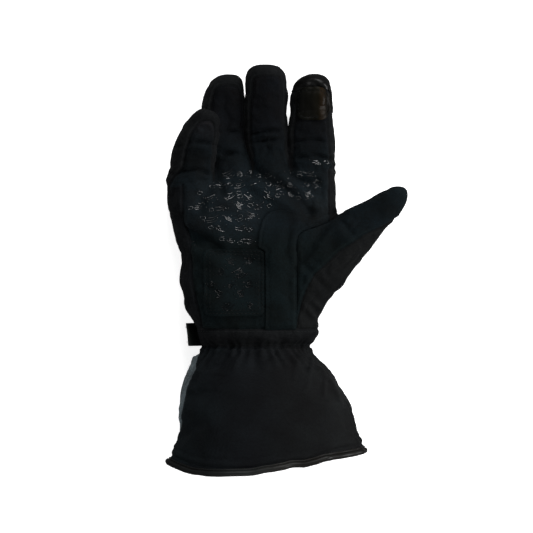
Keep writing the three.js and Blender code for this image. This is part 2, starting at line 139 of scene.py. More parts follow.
def mesh_of(bm, name="part"):
    """A mesh from a bmesh, which is then done with."""
    mesh = bpy.data.meshes.new(name)
    bm.to_mesh(mesh)
    bm.free()
    return mesh


def take_in(bm, mesh):
    """Adds a mesh to a bmesh. The mesh is then done with."""
    bm.from_mesh(mesh)
    bpy.data.meshes.remove(mesh)


def set_all(thing, settings):
    """Sets several properties of one thing."""
    for name, value in settings.items():
        setattr(thing, name, value)


def keep_result(piece):
    """Makes what a piece's modifiers show its own mesh, and removes them."""
    graph = bpy.context.evaluated_depsgraph_get()
    result = bpy.data.meshes.new_from_object(piece.evaluated_get(graph))
    before = piece.data
    piece.modifiers.clear()
    piece.data = result
    bpy.data.meshes.remove(before)


def use_modifier(piece, kind, **settings):
    """Adds a modifier, keeps its result and removes it."""
    set_all(piece.modifiers.new(kind, kind), settings)
    keep_result(piece)


# %% [markdown]
# ## The skin of the glove
# Every CAD panel is a thin wall with a gap of 0.3 mm to the next one. Grown a little, the walls
# touch, and a voxel remesh turns them into one even mesh. Its inside and outside meet only at the
# hem, so once the hem's edge is taken away, the outside is the larger of the two loose parts.
#
# Neighbouring fingers touch, and the remesh would weld them together. So they are set apart first,
# like a hand that spreads its fingers, and go back once the skin is cut into panels.

# %% Join the panels into one skin
PANELS = {  # piece: the CAD node that it stands for
    "middle_finger": "finger_middle",
    "index_finger": "finger_index",
    "ring_finger": "finger_ring",
    "little_finger": "finger_little",
    "thumb_inner_panel": "thumb_front",
    "thumb_outer_panel": "thumb_back",
    "palm_cloth": "palm_panel",
    "side_of_hand": "side_panel",
    "back_of_hand": "back_panel",
    "gathered_wrist": "wrist_band",
    "gauntlet_front": "cuff_front",
    "gauntlet_back": "cuff_back",
}
VOXEL = 2.0 * MM
GROW = 0.75 * MM  # closes the gaps at the seams, and is taken back later
WELD = 0.001 * MM  # points of a CAD mesh that are this close are one
SPREAD = {  # node: how far the finger is set aside, and the y from which it is, in mm
    "finger_index": (4.5, 66),
    "finger_ring": (-4.5, 61),
    "finger_little": (-9.0, 57),
}
SPREADS_OVER = 14  # mm of finger over which it turns aside


def smooth_step(value, low, high):
    """0 up to one value, 1 from another, and smooth between them."""
    share = np.clip((value - low) / (high - low), 0, 1)
    return share * share * (3 - 2 * share)


def set_aside(node, y):
    """How far a place of a node at some y is set aside in x, in metres."""
    if node not in SPREAD:
        return 0.0
    far, start = SPREAD[node]
    return far * MM * smooth_step(y / MM, start, start + SPREADS_OVER)


def merged_copy(node, grow=0.0):
    """A copy of a CAD node with its loose triangles joined, grown outwards, and set aside."""
    bm = bmesh_of(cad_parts[node].data)
    bmesh.ops.remove_doubles(bm, verts=bm.verts, dist=WELD)
    bm.normal_update()
    for vert in bm.verts:
        vert.co += vert.normal * grow
        vert.co.x += set_aside(node, vert.co.y)
    return bm


whole = bmesh.new()
for node in PANELS.values():
    take_in(whole, mesh_of(merged_copy(node, GROW)))
skin = add_object("skin", mesh_of(whole))
use_modifier(skin, "REMESH", mode="VOXEL", voxel_size=VOXEL)
print("remeshed walls:", len(skin.data.polygons), "faces")

# %% Keep the outside only
RIM = 1.4 * MM  # the edge of the cuff is what lies this close to its binding


def surface_tree(bm):
    """A search tree over the surface of a bmesh, which is then done with."""
    tree = BVHTree.FromBMesh(bm)
    bm.free()
    return tree


def keep_largest(bm):
    """Deletes what doesn't hang together with the largest part of a bmesh."""
    waiting = set(bm.faces)
    groups = []
    while waiting:
        border = [waiting.pop()]
        group = []
        while border:
            face = border.pop()
            group.append(face)
            for edge in face.edges:
                for other in edge.link_faces:
                    if other in waiting:
                        waiting.remove(other)
                        border.append(other)
        groups.append(group)
    groups.sort(key=lambda group: sum(face.calc_area() for face in group))
    print("faces of the loose parts:", [len(group) for group in groups])
    bmesh.ops.delete(bm, geom=[face for group in groups[:-1] for face in group], context="FACES")


hem_tree = surface_tree(merged_copy("hem_binding"))
bm = bmesh_of(skin.data)
rim = [face for face in bm.faces if hem_tree.find_nearest(face.calc_center_median())[3] < RIM]
bmesh.ops.delete(bm, geom=rim, context="FACES")
keep_largest(bm)
bm.to_mesh(skin.data)
bm.free()

# %% [markdown]
# ## From voxels to cloth
# The remesh leaves small steps, which a few rounds of smoothing take out. Then the skin goes back
# in by what the walls had grown. The distance from each point to every CAD panel says which panel
# the point belongs to, and the skin is cut where two panels are equally near: that is the seam.

# %% Smooth the skin
SMOOTHING_ROUNDS = 5
DEEPEST = 7 * MM  # the depth below a surface is looked for up to here
SKIP = 0.05 * MM  # and from here, past the surface itself


def depth_below(tree, spot, out):
    """How far it is from a place on a closed surface to its other side, straight inwards."""
    far = tree.ray_cast(spot - out * SKIP, -out, DEEPEST)[3]
    return DEEPEST if far is None else far


bm = bmesh_of(skin.data)
all_axes = {"use_axis_x": True, "use_axis_y": True, "use_axis_z": True}
for _ in range(SMOOTHING_ROUNDS):
    bmesh.ops.smooth_vert(bm, verts=bm.verts, factor=0.5, **all_axes)
bm.normal_update()
tree = BVHTree.FromBMesh(bm)
shrink = [min(GROW, 0.3 * depth_below(tree, vert.co, vert.normal)) for vert in bm.verts]
for vert, inwards in zip(bm.verts, shrink):
    vert.co -= vert.normal * inwards

# %% Cut a mesh along a line
ALMOST = 0.25  # the share of an edge within which a point is almost on the line


def cut_where_zero(bm, layer, edges=None):
    """Cuts a bmesh along the line where a value that its points carry is 0.

    A point that is almost on the line is moved onto it, so that no slivers are left.
    """
    edges = list(bm.edges if edges is None else edges)
    nearest = {}
    for edge in edges:
        a, b = edge.verts
        if a[layer] * b[layer] < 0:
            share = a[layer] / (a[layer] - b[layer])
            for vert, away, other in ((a, share, b), (b, 1 - share, a)):
                if away < nearest.get(vert, (ALMOST,))[0]:
                    nearest[vert] = (away, vert.co.lerp(other.co, away))
    for vert, (_, place) in nearest.items():
        vert.co = place
        vert[layer] = 0.0
    on_line = list(nearest)
    for edge in edges:
        a, b = edge.verts
        if a[layer] * b[layer] < 0:
            _, vert = bmesh.utils.edge_split(edge, a, a[layer] / (a[layer] - b[layer]))
            vert[layer] = 0.0
            on_line.append(vert)
    bmesh.ops.connect_verts(bm, verts=on_line)


def write_layer(verts, layer, values):
    """Gives each point its value in a layer."""
    for vert, value in zip(verts, values):
        vert[layer] = value


# %% Cut the skin into its panels
NODES = list(PANELS.values())
trees = [surface_tree(merged_copy(node)) for node in NODES]
near = np.array([[tree.find_nearest(vert.co)[3] for tree in trees] for vert in bm.verts]) / MM
layers = []
for index, node in enumerate(NODES):
    layers.append(bm.verts.layers.float.new(node))
    write_layer(bm.verts, layers[index], np.delete(near, index, axis=1).min(axis=1) - near[:, index])
for layer in layers:
    cut_where_zero(bm, layer)
for face in bm.faces:
    leads = [sum(vert[layer] for vert in face.verts) for layer in layers]
    face.material_index = leads.index(max(leads))
counts = np.bincount([face.material_index for face in bm.faces], minlength=len(NODES))
print("faces per panel:", dict(zip(PANELS, counts.tolist())))

# %% Bring the fingers back together
for vert in bm.verts:
    shifts = [set_aside(NODES[face.material_index], vert.co.y) for face in vert.link_faces]
    vert.co.x -= sum(shifts) / len(shifts)

# %% [markdown]
# ## Fronts, sides and backs of the fingers
# A padded finger is sewn from a front, a back and a strip on each side, called a fourchette. The
# front ends in a round seam below the fingertip. In plan, a front is what lies a few millimetres
# in from the finger's outline, with its corners rounded.

# %% Cut the finger seams
FRONTS = {  # how far the seams lie in from the outline, left, right and below the tip, and y of the crotch
    "middle_finger": (5.0, 3.4, 8.6, 62),
    "index_finger": (5.0, 4.2, 8.0, 62),
    "ring_finger": (6.2, 3.2, 8.0, 56),
    "little_finger": (11.0, 3.6, 7.6, 52),
}
FRONT_CORNER = 2.2  # how round the corners of a front are, in mm
OPENS_OVER = 16  # mm from the crotch to where the seams lie fully in
SLICE = 3  # mm of finger that one measure of its outline covers


def faces_of(name):
    """The faces of the skin that belong to a panel."""
    number = list(PANELS).index(name)
    return [face for face in bm.faces if face.material_index == number]


def verts_of(faces):
    """The points of some faces, each once, and in the same order in each run."""
    return list(dict.fromkeys(vert for face in faces for vert in face.verts))


def outline_of(faces):
    """How far the points of some faces reach to the left and right, by their y in mm."""
    places = np.array([vert.co for vert in verts_of(faces)]) / MM
    steps = np.arange(places[:, 1].min(), places[:, 1].max(), SLICE)
    near = [places[abs(places[:, 1] - y) < SLICE] for y in steps]
    left = np.array([rows[:, 0].min() for rows in near])
    right = np.array([rows[:, 0].max() for rows in near])
    return lambda y: (np.interp(y, steps, left), np.interp(y, steps, right))


def soft_min(values, roundness):
    """The least of some values, with a rounded change from one to the next."""
    return -roundness * math.log(sum(math.exp(-value / roundness) for value in values))


def inner_edges(faces):
    """The edges that lie between two of the given faces."""
    own = set(faces)
    edges = dict.fromkeys(edge for face in faces for edge in face.edges)
    return [edge for edge in edges if own.issuperset(edge.link_faces)]


front_layer = bm.verts.layers.float.new("front")
is_front = bm.faces.layers.int.new("is_front")


def split_panel(panel, inside):
    """Cuts a panel where a function of x, y and z in mm is 0, and marks its faces where it is above."""
    faces = faces_of(panel)
    for vert in verts_of(faces):
        vert[front_layer] = inside(*(vert.co / MM))
    cut_where_zero(bm, front_layer, inner_edges(faces))
    for face in faces_of(panel):
        face[is_front] = 1 if sum(vert[front_layer] for vert in face.verts) > 0 else 0


def inside_front(x, y, z):
    """How far a place lies inside the front of the finger at hand, in mm."""
    left, right = outline(y)
    opened = min(1.0, max(0.0, (y - crotch) / OPENS_OVER))
    sides = (x - left - left_in * opened, right - right_in * opened - x, tip - tip_in - y)
    return soft_min(sides, FRONT_CORNER)


for finger, (left_in, right_in, tip_in, crotch) in FRONTS.items():
    outline = outline_of(faces_of(finger))
    tip = max(vert.co.y for vert in verts_of(faces_of(finger))) / MM
    split_panel(finger, inside_front)

# The back of the cuff is grey. It shows as a narrow strip at the left, up to a line in plan. Its
# gathered end and its side below the thumb are black.
BLACK_STRIP = 6  # mm of it that lie on the underside
BLACK_END = -66.5  # the y from which it is black
GREY_EDGE = ((-36, -66.5), (-38, -71), (-40, -77), (-43.2, -86), (-45.6, -92), (-47.4, -100),
             (-49.4, -110), (-52.2, -119), (-62, -128))
GREY_EDGE_HIGH = 24  # the z above which the line is meant
LEAST_WIDE = 1.2  # mm of it that show at least, until it narrows to nothing at the hem
GREY_END = -146  # the y where it has narrowed
NARROWS_OVER = 30


def right_of_grey(x, y):
    """How far a place lies to the right of the grey strip, in mm. It ends where the cuff does."""
    edge = np.interp(-y, [-row for _, row in GREY_EDGE], [column for column, _ in GREY_EDGE])
    least = LEAST_WIDE * min(1, (y - GREY_END) / NARROWS_OVER) ** 2
    return x - max(edge, outline(y)[0] + least)


def black_on_back(x, y, z):
    """How far a place lies inside the black parts of the back of the cuff, in mm."""
    return max(x - outline(y)[1] + BLACK_STRIP, y - BLACK_END, min(right_of_grey(x, y), z - GREY_EDGE_HIGH))


def grey_on_front(x, y, z):
    """How far a place on the front of the cuff lies inside the grey strip, in mm."""
    return min(-right_of_grey(x, y), BLACK_END - y)


outline = outline_of(faces_of("gauntlet_back"))
split_panel("gauntlet_back", black_on_back)
split_panel("gauntlet_front", grey_on_front)

# %% [markdown]
# ## Patches on the skin
# The suede and leather patches are sewn on top. Their plan outlines, the same as in the frame, are
# cut into the skin as well, so that each patch can later be lifted off as an exact copy of the
# cloth below it. Where a patch runs into a seam, its outline goes past that seam.


# %% Measure from lines in plan
def from_line(places, line):
    """How far places lie from a run of points in plan. All is in millimetres."""
    starts = np.array(line[:-1], float)
    along = np.array(line[1:], float) - starts
    offset = places[:, None, :2] - starts
    share = np.clip((offset * along).sum(-1) / (along**2).sum(-1), 0, 1)
    return np.sqrt(((offset - share[..., None] * along) ** 2).sum(-1)).min(axis=1)


def from_spot(places, x, y):
    """How far places lie from a spot in plan. All is in millimetres."""
    return np.hypot(places[:, 0] - x, places[:, 1] - y)


def inside_outline(places, outline):
    """How far places lie inside a closed outline in plan, and below 0 outside it."""
    corners = np.array(outline, float)
    along = np.roll(corners, -1, axis=0) - corners
    x, y = places[:, None, 0], places[:, None, 1]
    spans = (corners[:, 1] > y) != (corners[:, 1] + along[:, 1] > y)
    rise = np.where(along[:, 1] == 0, 1, along[:, 1])
    crossing = corners[:, 0] + (y - corners[:, 1]) * along[:, 0] / rise
    within = (spans & (x < crossing)).sum(axis=1) % 2 == 1
    return np.where(within, 1, -1) * from_line(places, [*outline, outline[0]])


def rounded_box(left, right, low, high, corner):
    """The outline of a patch with round corners."""
    outline = []
    middles = ((right - corner, low + corner), (right - corner, high - corner),
               (left + corner, high - corner), (left + corner, low + corner))
    for quarter, (x, y) in enumerate(middles):
        for step in range(7):
            angle = math.radians(90 * (quarter - 1) + 15 * step)
            outline.append((x + corner * math.cos(angle), y + corner * math.sin(angle)))
    return outline


# %% Cut the outlines of the patches
HEEL = {"left": -32.6, "right": 10.2, "low": -38.6, "high": 9.0, "corner": 3.5}
TOUCH_PAD = {"left": 33.6, "right": 57.0, "low": 103.0, "high": 125.6, "corner": 7.5}
SADDLE_OUTLINE = [
    (11.3, -52), (37, -52), (37, 14), (38.5, 21.5), (55.5, 28), (58.5, 34.2), (50, 34.4), (43, 33.8),
    (31, 35.4), (25, 37), (20, 37.2), (15.6, 36), (12.5, 34.5), (8.6, 28.5), (6.6, 19), (6.2, 10.4),
    (11.3, 8.5),
]
CAP_OUTLINE = [
    (24, 121.6), (33, 123), (36.8, 124.8), (42.5, 126), (50.4, 126.3), (54, 125.6), (57.4, 123),
    (58.6, 118.6), (58.6, 109), (70, 108), (70, 150), (24, 150),
]
PATCHES = {  # piece: its outline, the panel that it is sewn to, and the lowest z that it reaches
    "saddle_suede": (SADDLE_OUTLINE, "palm_cloth", 22),
    "heel_suede": (rounded_box(**HEEL), "palm_cloth", 22),
    "touch_leather_pad": (rounded_box(**TOUCH_PAD), "index_finger", 24),
    "tip_leather_cap": (CAP_OUTLINE, "index_finger", 0),
}


def faces_above(name, low):
    """The faces of a panel whose middle lies above some z in mm."""
    return [face for face in faces_of(name) if face.calc_center_median().z > low * MM]


patch_layer = bm.verts.layers.float.new("patch")
patch_of = bm.faces.layers.int.new("patch_of")
for number, (patch, (outline, panel, low)) in enumerate(PATCHES.items(), start=1):
    faces = faces_above(panel, low)
    verts = verts_of(faces)
    write_layer(verts, patch_layer, inside_outline(np.array([vert.co for vert in verts]) / MM, outline))
    cut_where_zero(bm, patch_layer, inner_edges(faces))
    faces = faces_above(panel, low)
    inside = inside_outline(np.array([face.calc_center_median() for face in faces]) / MM, outline)
    covered = [face for face, value in zip(faces, inside) if value > 0]
    for face in covered:
        face[patch_of] = number
    print(patch, "covers", round(sum(face.calc_area() for face in covered) / MM**2), "mm2")

# %% Cut a clean edge at the hem
HEM_EDGE = 2.1  # mm above the binding of the frame

hem_layer = bm.verts.layers.float.new("hem")
write_layer(bm.verts, hem_layer, [hem_tree.find_nearest(v.co)[3] / MM - HEM_EDGE for v in bm.verts])
cut_where_zero(bm, hem_layer)
below = [face for face in bm.faces if sum(vert[hem_layer] for vert in face.verts) < 0]
bmesh.ops.delete(bm, geom=below, context="FACES")
keep_largest(bm)
print("edges along the hem:", sum(edge.is_boundary for edge in bm.edges))

# %% [markdown]
# ## Mark the seams
# A seam is an edge of the skin between two different panels, or between a finger's front and its
# side. Two joins of the frame are no seams on the real glove: the palm runs on into the fronts of
# the fingers, and the side of the hand into the side of the little finger.

# %% Mark the seams
FINGERS = list(FRONTS)
PLAIN_JOINS = [{finger, "palm_cloth"} for finger in FINGERS] + [{"little_finger", "side_of_hand"}]
names = list(PANELS)
for edge in bm.edges:
    if len(edge.link_faces) == 2:
        one, two = edge.link_faces
        pair = {names[one.material_index], names[two.material_index]}
        crosses = len(pair) == 2 and pair not in PLAIN_JOINS
        edge.seam = crosses or (len(pair) == 1 and one[is_front] != two[is_front])
for layer in [*layers, front_layer, patch_layer, hem_layer]:
    bm.verts.layers.float.remove(layer)
bm.normal_update()
bm.to_mesh(skin.data)
bm.free()
print("seam edges:", sum(edge.use_seam for edge in skin.data.edges))

# %% [markdown]
# ## Inflate the padding
# Wadding pushes the cloth out between the seams. Blender's Cloth with a little pressure does the
# same: the seams are pinned, the cloth may grow by a few per cent, which lets it pucker, and
# gravity is off. The skin starts slightly small, and no point may move further than a cap.

# %% Pin the seams and run the cloth
START_SMALLER = 0.2 * MM
PIN_REACH = 1.6  # mm from a seam over which the cloth is held
CAP = 2.2 * MM
FRAMES = 20
CLOTH = {
    "vertex_group_mass": "pins", "quality": 4, "mass": 0.2, "tension_stiffness": 12,
    "compression_stiffness": 12, "bending_stiffness": 0.3, "use_pressure": True,
    "uniform_pressure_force": 4, "shrink_min": -0.03,
}


def distances(mesh, wanted, places):
    """How far places lie from some edges of a mesh, in mm. Its ends and middle stand for an edge."""
    ends = points_of(mesh)[values_of(mesh.edges, "vertices", 2, int)[wanted]]
    spots = np.concatenate([ends[:, 0], ends.mean(axis=1), ends[:, 1]])
    tree = KDTree(len(spots))
    for index, spot in enumerate(spots):
        tree.insert(spot, index)
    tree.balance()
    return np.array([tree.find(place)[2] for place in places]) / MM


def seams_of(mesh):
    """The numbers of a mesh's seam edges."""
    return np.array([edge.index for edge in mesh.edges if edge.use_seam])


def weight_points(piece, name, weights):
    """Gives a piece a vertex group with a weight for each point."""
    group = piece.vertex_groups.new(name=name)
    for index, weight in enumerate(weights):
        group.add([index], weight, "REPLACE")


def inflate(piece):
    """Runs the pinned cloth on the skin and keeps where it comes to rest."""
    start = points_of(piece.data)
    from_seam = distances(piece.data, seams_of(piece.data), start)
    weight_points(piece, "pins", [math.exp(-((distance / PIN_REACH) ** 2)) for distance in from_seam])
    cloth = piece.modifiers.new("cloth", "CLOTH")
    set_all(cloth.settings, CLOTH)
    cloth.settings.effector_weights.gravity = 0
    cloth.point_cache.frame_end = FRAMES
    for step in range(1, FRAMES + 1):
        bpy.context.scene.frame_set(step)
    keep_result(piece)
    bpy.context.scene.frame_set(1)
    piece.vertex_groups.clear()
    moved = points_of(piece.data) - start
    length = np.linalg.norm(moved, axis=1)
    print("cloth moved, mm: mean", round(length.mean() / MM, 2), "most", round(length.max() / MM, 2))
    moved *= np.minimum(1, CAP / np.maximum(length, 1e-9))[:, None]
    move_points(piece.data, start + moved)


def depths_below(piece):
    """The depth below each point of a piece."""
    tree = surface_tree(bmesh_of(piece.data))
    rows = zip(points_of(piece.data), normals_of(piece.data))
    return np.array([depth_below(tree, Vector(spot), Vector(out)) for spot, out in rows])


inwards = np.minimum(START_SMALLER, 0.25 * depths_below(skin))
move_points(skin.data, points_of(skin.data) - normals_of(skin.data) * inwards[:, None])
inflate(skin)
use_modifier(skin, "SUBSURF", levels=1, render_levels=1)
print("skin:", len(skin.data.vertices), "points")

# %% [markdown]
# ## Seams, creases and gathers
# The fine forms of sewn cloth are pressed into the smooth skin by moving its points along their
# normals. Sculpting by hand would do this too. Here each form is a small formula of the distance
# to a line: a seam is a groove with a slight roll on both sides, and a crease is the same, wider.
#
# In all these formulas, a number before bump or waves is a height in mm, and the last number in
# bump is how far it reaches, in mm.

# %% Measure where each point lies
places = points_of(skin.data) / MM
at_x, at_y, at_z = places.T
facing = normals_of(skin.data)
corners = values_of(skin.data.polygons, "loop_total", kind=int)
panel_of_face = values_of(skin.data.polygons, "material_index", kind=int)
loop_points = values_of(skin.data.loops, "vertex_index", kind=int)
has_panel = np.zeros((len(places), len(names)), bool)
has_panel[loop_points, np.repeat(panel_of_face, corners)] = True


def on(*wanted):
    """Which points belong to one of these panels, as 1 or 0."""
    return has_panel[:, [names.index(name) for name in wanted]].any(axis=1).astype(float)


seams = seams_of(skin.data)
on_two_fingers = has_panel[:, :len(FINGERS)].sum(axis=1) >= 2
ends = values_of(skin.data.edges, "vertices", 2, int)
between = seams[on_two_fingers[ends[seams]].all(axis=1)]
seam = distances(skin.data, seams, places * MM)
valley = distances(skin.data, between, places * MM)
print("seam edges:", len(seams), "of which between fingers:", len(between))


# %% Formulas for folded cloth
def bump(away, wide):
    """1 on a line, falling to 0 at about twice the width."""
    return np.exp(-((away / wide) ** 2))


def waves(size, seed):
    """Gentle random waves over the skin, about -1 to 1, of some size in mm."""
    shift = Vector((seed * 17.3, seed * 5.1, seed * 9.7))
    return np.array([noise.noise(Vector(place) / size + shift) for place in places])


def folds(lines, beside=0.0, offset=2.2, wider=1.4):
    """Folds along runs of points in plan, each with how wide and how high it is. Creases are below 0.

    beside is the share by which the cloth goes the other way next to a fold, and offset and wider
    say how far away and how wide that is, as shares of the fold's width.
    """
    total = np.zeros(len(places))
    for line, wide, high in lines:
        away = from_line(places, line)
        total += high * (bump(away, wide) - beside * bump(away - offset * wide, wide * wider))
    return total


# %% Press the forms into the skin
top = smooth_step(facing[:, 2], 0.05, 0.6)  # 1 where the cloth looks up, 0 at the sides and below
rise = (0.55 * waves(24, 1) + 0.22 * waves(9, 2)) * (0.3 + 0.7 * top)
rise *= 1 - 0.5 * on(*FINGERS)

# Where the padding is fuller than the frame: x and y in mm, how far it reaches, how high.
SWELLS = (
    (76, 3, 17, 1.6), (66, -18, 7, 1.5), (88, 11, 12, 1.1), (76, 41, 10, 1.1), (70, -17, 8, 1.4),
    (69, 36, 6, 2.0), (104, 54, 7, 0.7), (51, 43, 9, 1.0), (61, 80, 11, 1.4), (60, 108, 10, 1.2),
    (55, 131, 7, 1.8), (32, 120, 9, 1.7), (27.5, 105, 3.5, 0.4), (27.5, 98, 3.5, -0.7),
    (24, 138, 6, 0.7), (3, 140, 5, 0.7), (-5, 119, 3, 0.8),
    (-8, 133, 5, 1.0), (-32, 121, 6, 0.7), (-35, 113, 6, 1.8), (-46, 106, 6, -0.9), (-59, 68, 9, 1.0),
    (-60, 52, 10, 0.8), (-55, 12, 8, 0.5), (-51, -18, 15, 1.9), (-47, -32, 7, 1.5), (-44, -39, 4, 0.7),
    (-43, -45, 5, -1.0), (-40, -52, 6, -2.6), (-36, -61, 4, 1.0), (-39, -70, 5.5, 0.7), (-48, -86, 14, 1.0),
    (-51, -106, 10, 0.6), (-58, -143, 7, 0.4), (50, -48, 5, 1.1), (46, -57, 4, 0.7), (43, -61, 4, 0.8),
    (56, -79, 8, 0.8), (78, -123, 4, -0.8), (81, -131, 7, 0.3),
)
for x, y, reach, high in SWELLS:
    rise += high * bump(from_spot(places, x, y), reach)

# Seams: the thread pulls a groove, the seam allowance makes a roll, and the cloth puckers.
flat_seam = bump(from_spot(places, 106, 33), 7)  # at the tip of the thumb
rise += -1.15 * bump(seam, 1.25) * (0.5 + 0.5 * top) * (1 - 0.8 * flat_seam) + 0.3 * bump(seam - 3.2, 1.5)
rise += 0.4 * waves(3.4, 3) * bump(seam - 1.6, 2.2)

# Creases across the fronts of the fingers. They fade towards the sides.
FINGER_CREASES = {  # y in mm, how deep, how much it rises to the right
    "middle_finger": ((95.0, 1.1, 0.02), (88.6, 1.2, 0.04)),
    "index_finger": ((88.2, 0.9, -0.02), (76.3, 1.4, -0.05)),
    "ring_finger": ((94.2, 1.0, 0.08), (78.9, 1.0, 0.02)),
    "little_finger": ((86.0, 1.2, 0.02), (66.2, 1.4, -0.05)),
}
for finger, creases in FINGER_CREASES.items():
    aside = at_x - at_x[on(finger) > 0].mean()
    own = on(finger) * top * (1 - 0.6 * smooth_step(abs(aside), 8, 13))
    for y, deep, slope in creases:
        away = at_y - y - slope * aside + 0.012 * aside**2 - 1.5 * waves(12, 4)
        deepness = own * deep * np.clip(0.75 + 1.1 * waves(9, y), 0.15, 1.4)
        rise += deepness * (-2.2 * bump(away, 1.3) + 0.5 * bump(abs(away) - 3.4, 1.8))

# Creases in the palm, and the long folds into which the cloth between them is pushed up.
PALM_CREASES = (
    ([(-58, 25), (-44, 19.5), (-30, 12.5), (-24, 9)], 3.4, -2.6),
    ([(-60, 26), (-36, 15)], 5.0, -1.8),
    ([(-44, 19.5), (-30, 12.5), (-19, 7), (-8, 2.5), (9, -2.5)], 4.8, -2.1),
    ([(5, 65), (13, 58), (23, 53), (31, 48), (38, 42), (43, 35)], 3.4, -2.6),
    ([(27, 68), (31, 61), (39, 57), (48, 58)], 2.5, -2.0),
    ([(-23, 66), (-22, 58), (-20, 50)], 2.2, -1.2),
    ([(-40, 48), (-28, 50), (-14, 57)], 2.2, -0.7),
)
PALM_FOLDS = (
    ([(-11, 68), (-5, 63), (3, 55), (13, 49), (21, 44), (29, 40)], 4.0, 1.5),
    ([(17, 64), (26, 59), (36, 52), (44, 48)], 2.4, 0.8),
    ([(-30, 44), (-16, 42), (-4, 34)], 4.0, 0.8),
    ([(-40, 58), (-34, 50), (-30, 46)], 3.4, 0.9),
)
rise += top * on("palm_cloth", *FINGERS) * (folds(PALM_CREASES, 0.4) + folds(PALM_FOLDS))

# The thumb bends at two places, and its ball is drawn into folds.
THUMB_AT = np.array((30.0, -25.0))
THUMB_TURN = math.radians(47.55)
THUMB_BENDS = ((63, 0.4), (22, 0.5))  # mm along the thumb, how deep
THUMB_FOLDS = (
    ([(42, -34), (50, -45)], 1.8, 1.2),
    ([(46, -29), (55, -38)], 1.7, 0.8),
    ([(63, -6), (70, -2), (78, 0)], 2.2, -1.0),
)
along_thumb = (places[:, :2] - THUMB_AT) @ np.array((math.sin(THUMB_TURN), math.cos(THUMB_TURN)))
thumb_top = top * on("thumb_inner_panel", "thumb_outer_panel")
for at, deep in THUMB_BENDS:
    away = along_thumb - at - 1.2 * waves(14, 5)
    rise += thumb_top * deep * (-bump(away, 1.8) + 0.4 * bump(abs(away) - 4.4, 2.6))
rise += thumb_top * folds(THUMB_FOLDS, 0.5, 2.3, 1.2)

rise *= 1 - bump(valley, 5)  # the tight corners between the fingers stay smooth

# %% Gathers and soft folds of the cuff
GATHERS = 38  # ridges round the wrist
WRIST = (4.3, 23.5)  # x and z of its middle
WRIST_HALF = (41.0, 18.5)  # how far it reaches from there
turn = np.arctan2((at_z - WRIST[1]) / WRIST_HALF[1], (at_x - WRIST[0]) / WRIST_HALF[0])
ridges = np.cos(GATHERS * turn + 2.2 * waves(16, 6)) * (0.75 + 0.7 * waves(9, 7))
near_elastic = bump(at_y + 60.5, 4.4)
below_elastic = smooth_step(-at_y, 60, 64) * (1 - smooth_step(-at_y, 68, 82))
on_gauntlet = on("gauntlet_front", "gauntlet_back")
on_sleeve = on("gathered_wrist", "gauntlet_front", "gauntlet_back")
rise += on_sleeve * ridges * (0.6 * near_elastic + 0.9 * below_elastic)
rise -= 1.5 * on_sleeve * bump(at_y + 60.2, 1.9)
rise += 0.8 * on("gathered_wrist") * bump(at_y + 53.4, 2.8)

CUFF_FOLDS = (
    ([(45.5, -68), (44, -76), (41.5, -89)], 1.5, 1.04),
    ([(52, -76), (54, -84), (53.5, -96)], 1.5, 1.04),
    ([(57, -84), (62, -92), (66, -102)], 1.6, 0.88),
    ([(36, -68), (33, -77), (32, -84)], 1.7, 0.48),
    ([(-36, -70), (-40, -80), (-42, -92)], 2.4, 0.56),
)
GREY_FOLDS = (
    ([(-39, -69), (-43, -80), (-46.6, -92)], 0.8, 0.7),
    ([(-43.5, -86), (-48, -101), (-50, -113)], 0.8, 0.7),
)
rise += on("gauntlet_front") * top * folds(CUFF_FOLDS, 0.25, 2.2, 1.3)
rise += on_gauntlet * smooth_step(at_z, 14, 20) * folds(GREY_FOLDS)

# Above the hem, the seams of its binding press two channels into the cuff.
hem_away = np.array([hem_tree.find_nearest(place * MM)[3] for place in places]) / MM - HEM_EDGE
rise += on_gauntlet * (-0.7 * bump(hem_away - 2.6, 0.9) + 0.25 * bump(hem_away - 5, 1.6))
rise += on_gauntlet * -0.45 * bump(hem_away - 8, 1.1)

rise = np.maximum(rise, -0.3 * depths_below(skin) / MM)
moved = (places + facing * rise[:, None]) * MM
moved[:, 2] = np.maximum(moved[:, 2], 0.05 * MM)

# The palm side of the hem runs in gentle waves: x in mm, how far a wave reaches, how far it shifts y.
HEM_WAVES = ((16, 8, 0.4), (39, 9, -1.5), (55, 10, 1.2), (70, 8, 0.4), (-42, 8, -1.0), (-20, 10, 0.4))
near_hem = smooth_step(-at_y, 105, 138) * smooth_step(at_z, 15, 28)
for x, reach, shift in HEM_WAVES:
    moved[:, 1] += shift * MM * near_hem * bump(at_x - x, reach)
move_points(skin.data, moved)
print("pressed in, mm:", round(rise.min(), 2), "to", round(rise.max(), 2))

# %% Write down the seams and the room for padding
PADDING = 2.8  # mm where there is room for it
notes = {  # for the materials: 1 on a seam, and for the padding: 1 where all of it fits inside
    "near_seam": bump(seam, 1.6),
    "room": np.minimum(1, 0.4 * depths_below(skin) / MM / PADDING),
}
for name, values in notes.items():
    skin.data.attributes.new(name, "FLOAT", "POINT").data.foreach_set("value", values)
print("share of points with room for all padding:", round((notes["room"] == 1).mean(), 2))

# %% [markdown]
# ## Materials
# The glove is black on black, and what tells its cloths apart is how they take light: softshell is
# a dense matt weave, suede is darker and duller still, and leather and print shine. All of them
# read Object coordinates, so a pattern keeps its real size in millimetres on every piece.


# %% Colours and nodes
def linear(code):
    """An sRGB hex colour in the linear values that Blender's sockets take."""
    shares = [int(code[i:i + 2], 16) / 255 for i in (0, 2, 4)]
    return (*[s / 12.92 if s <= 0.04045 else ((s + 0.055) / 1.055) ** 2.4 for s in shares], 1.0)


def feed(node, inputs):
    """Gives inputs of a node their numbers or colours, or links them to another node's output."""
    for name, value in inputs.items():
        if isinstance(value, bpy.types.NodeSocket):
            node.id_data.links.new(value, node.inputs[name])
        else:
            node.inputs[name].default_value = value


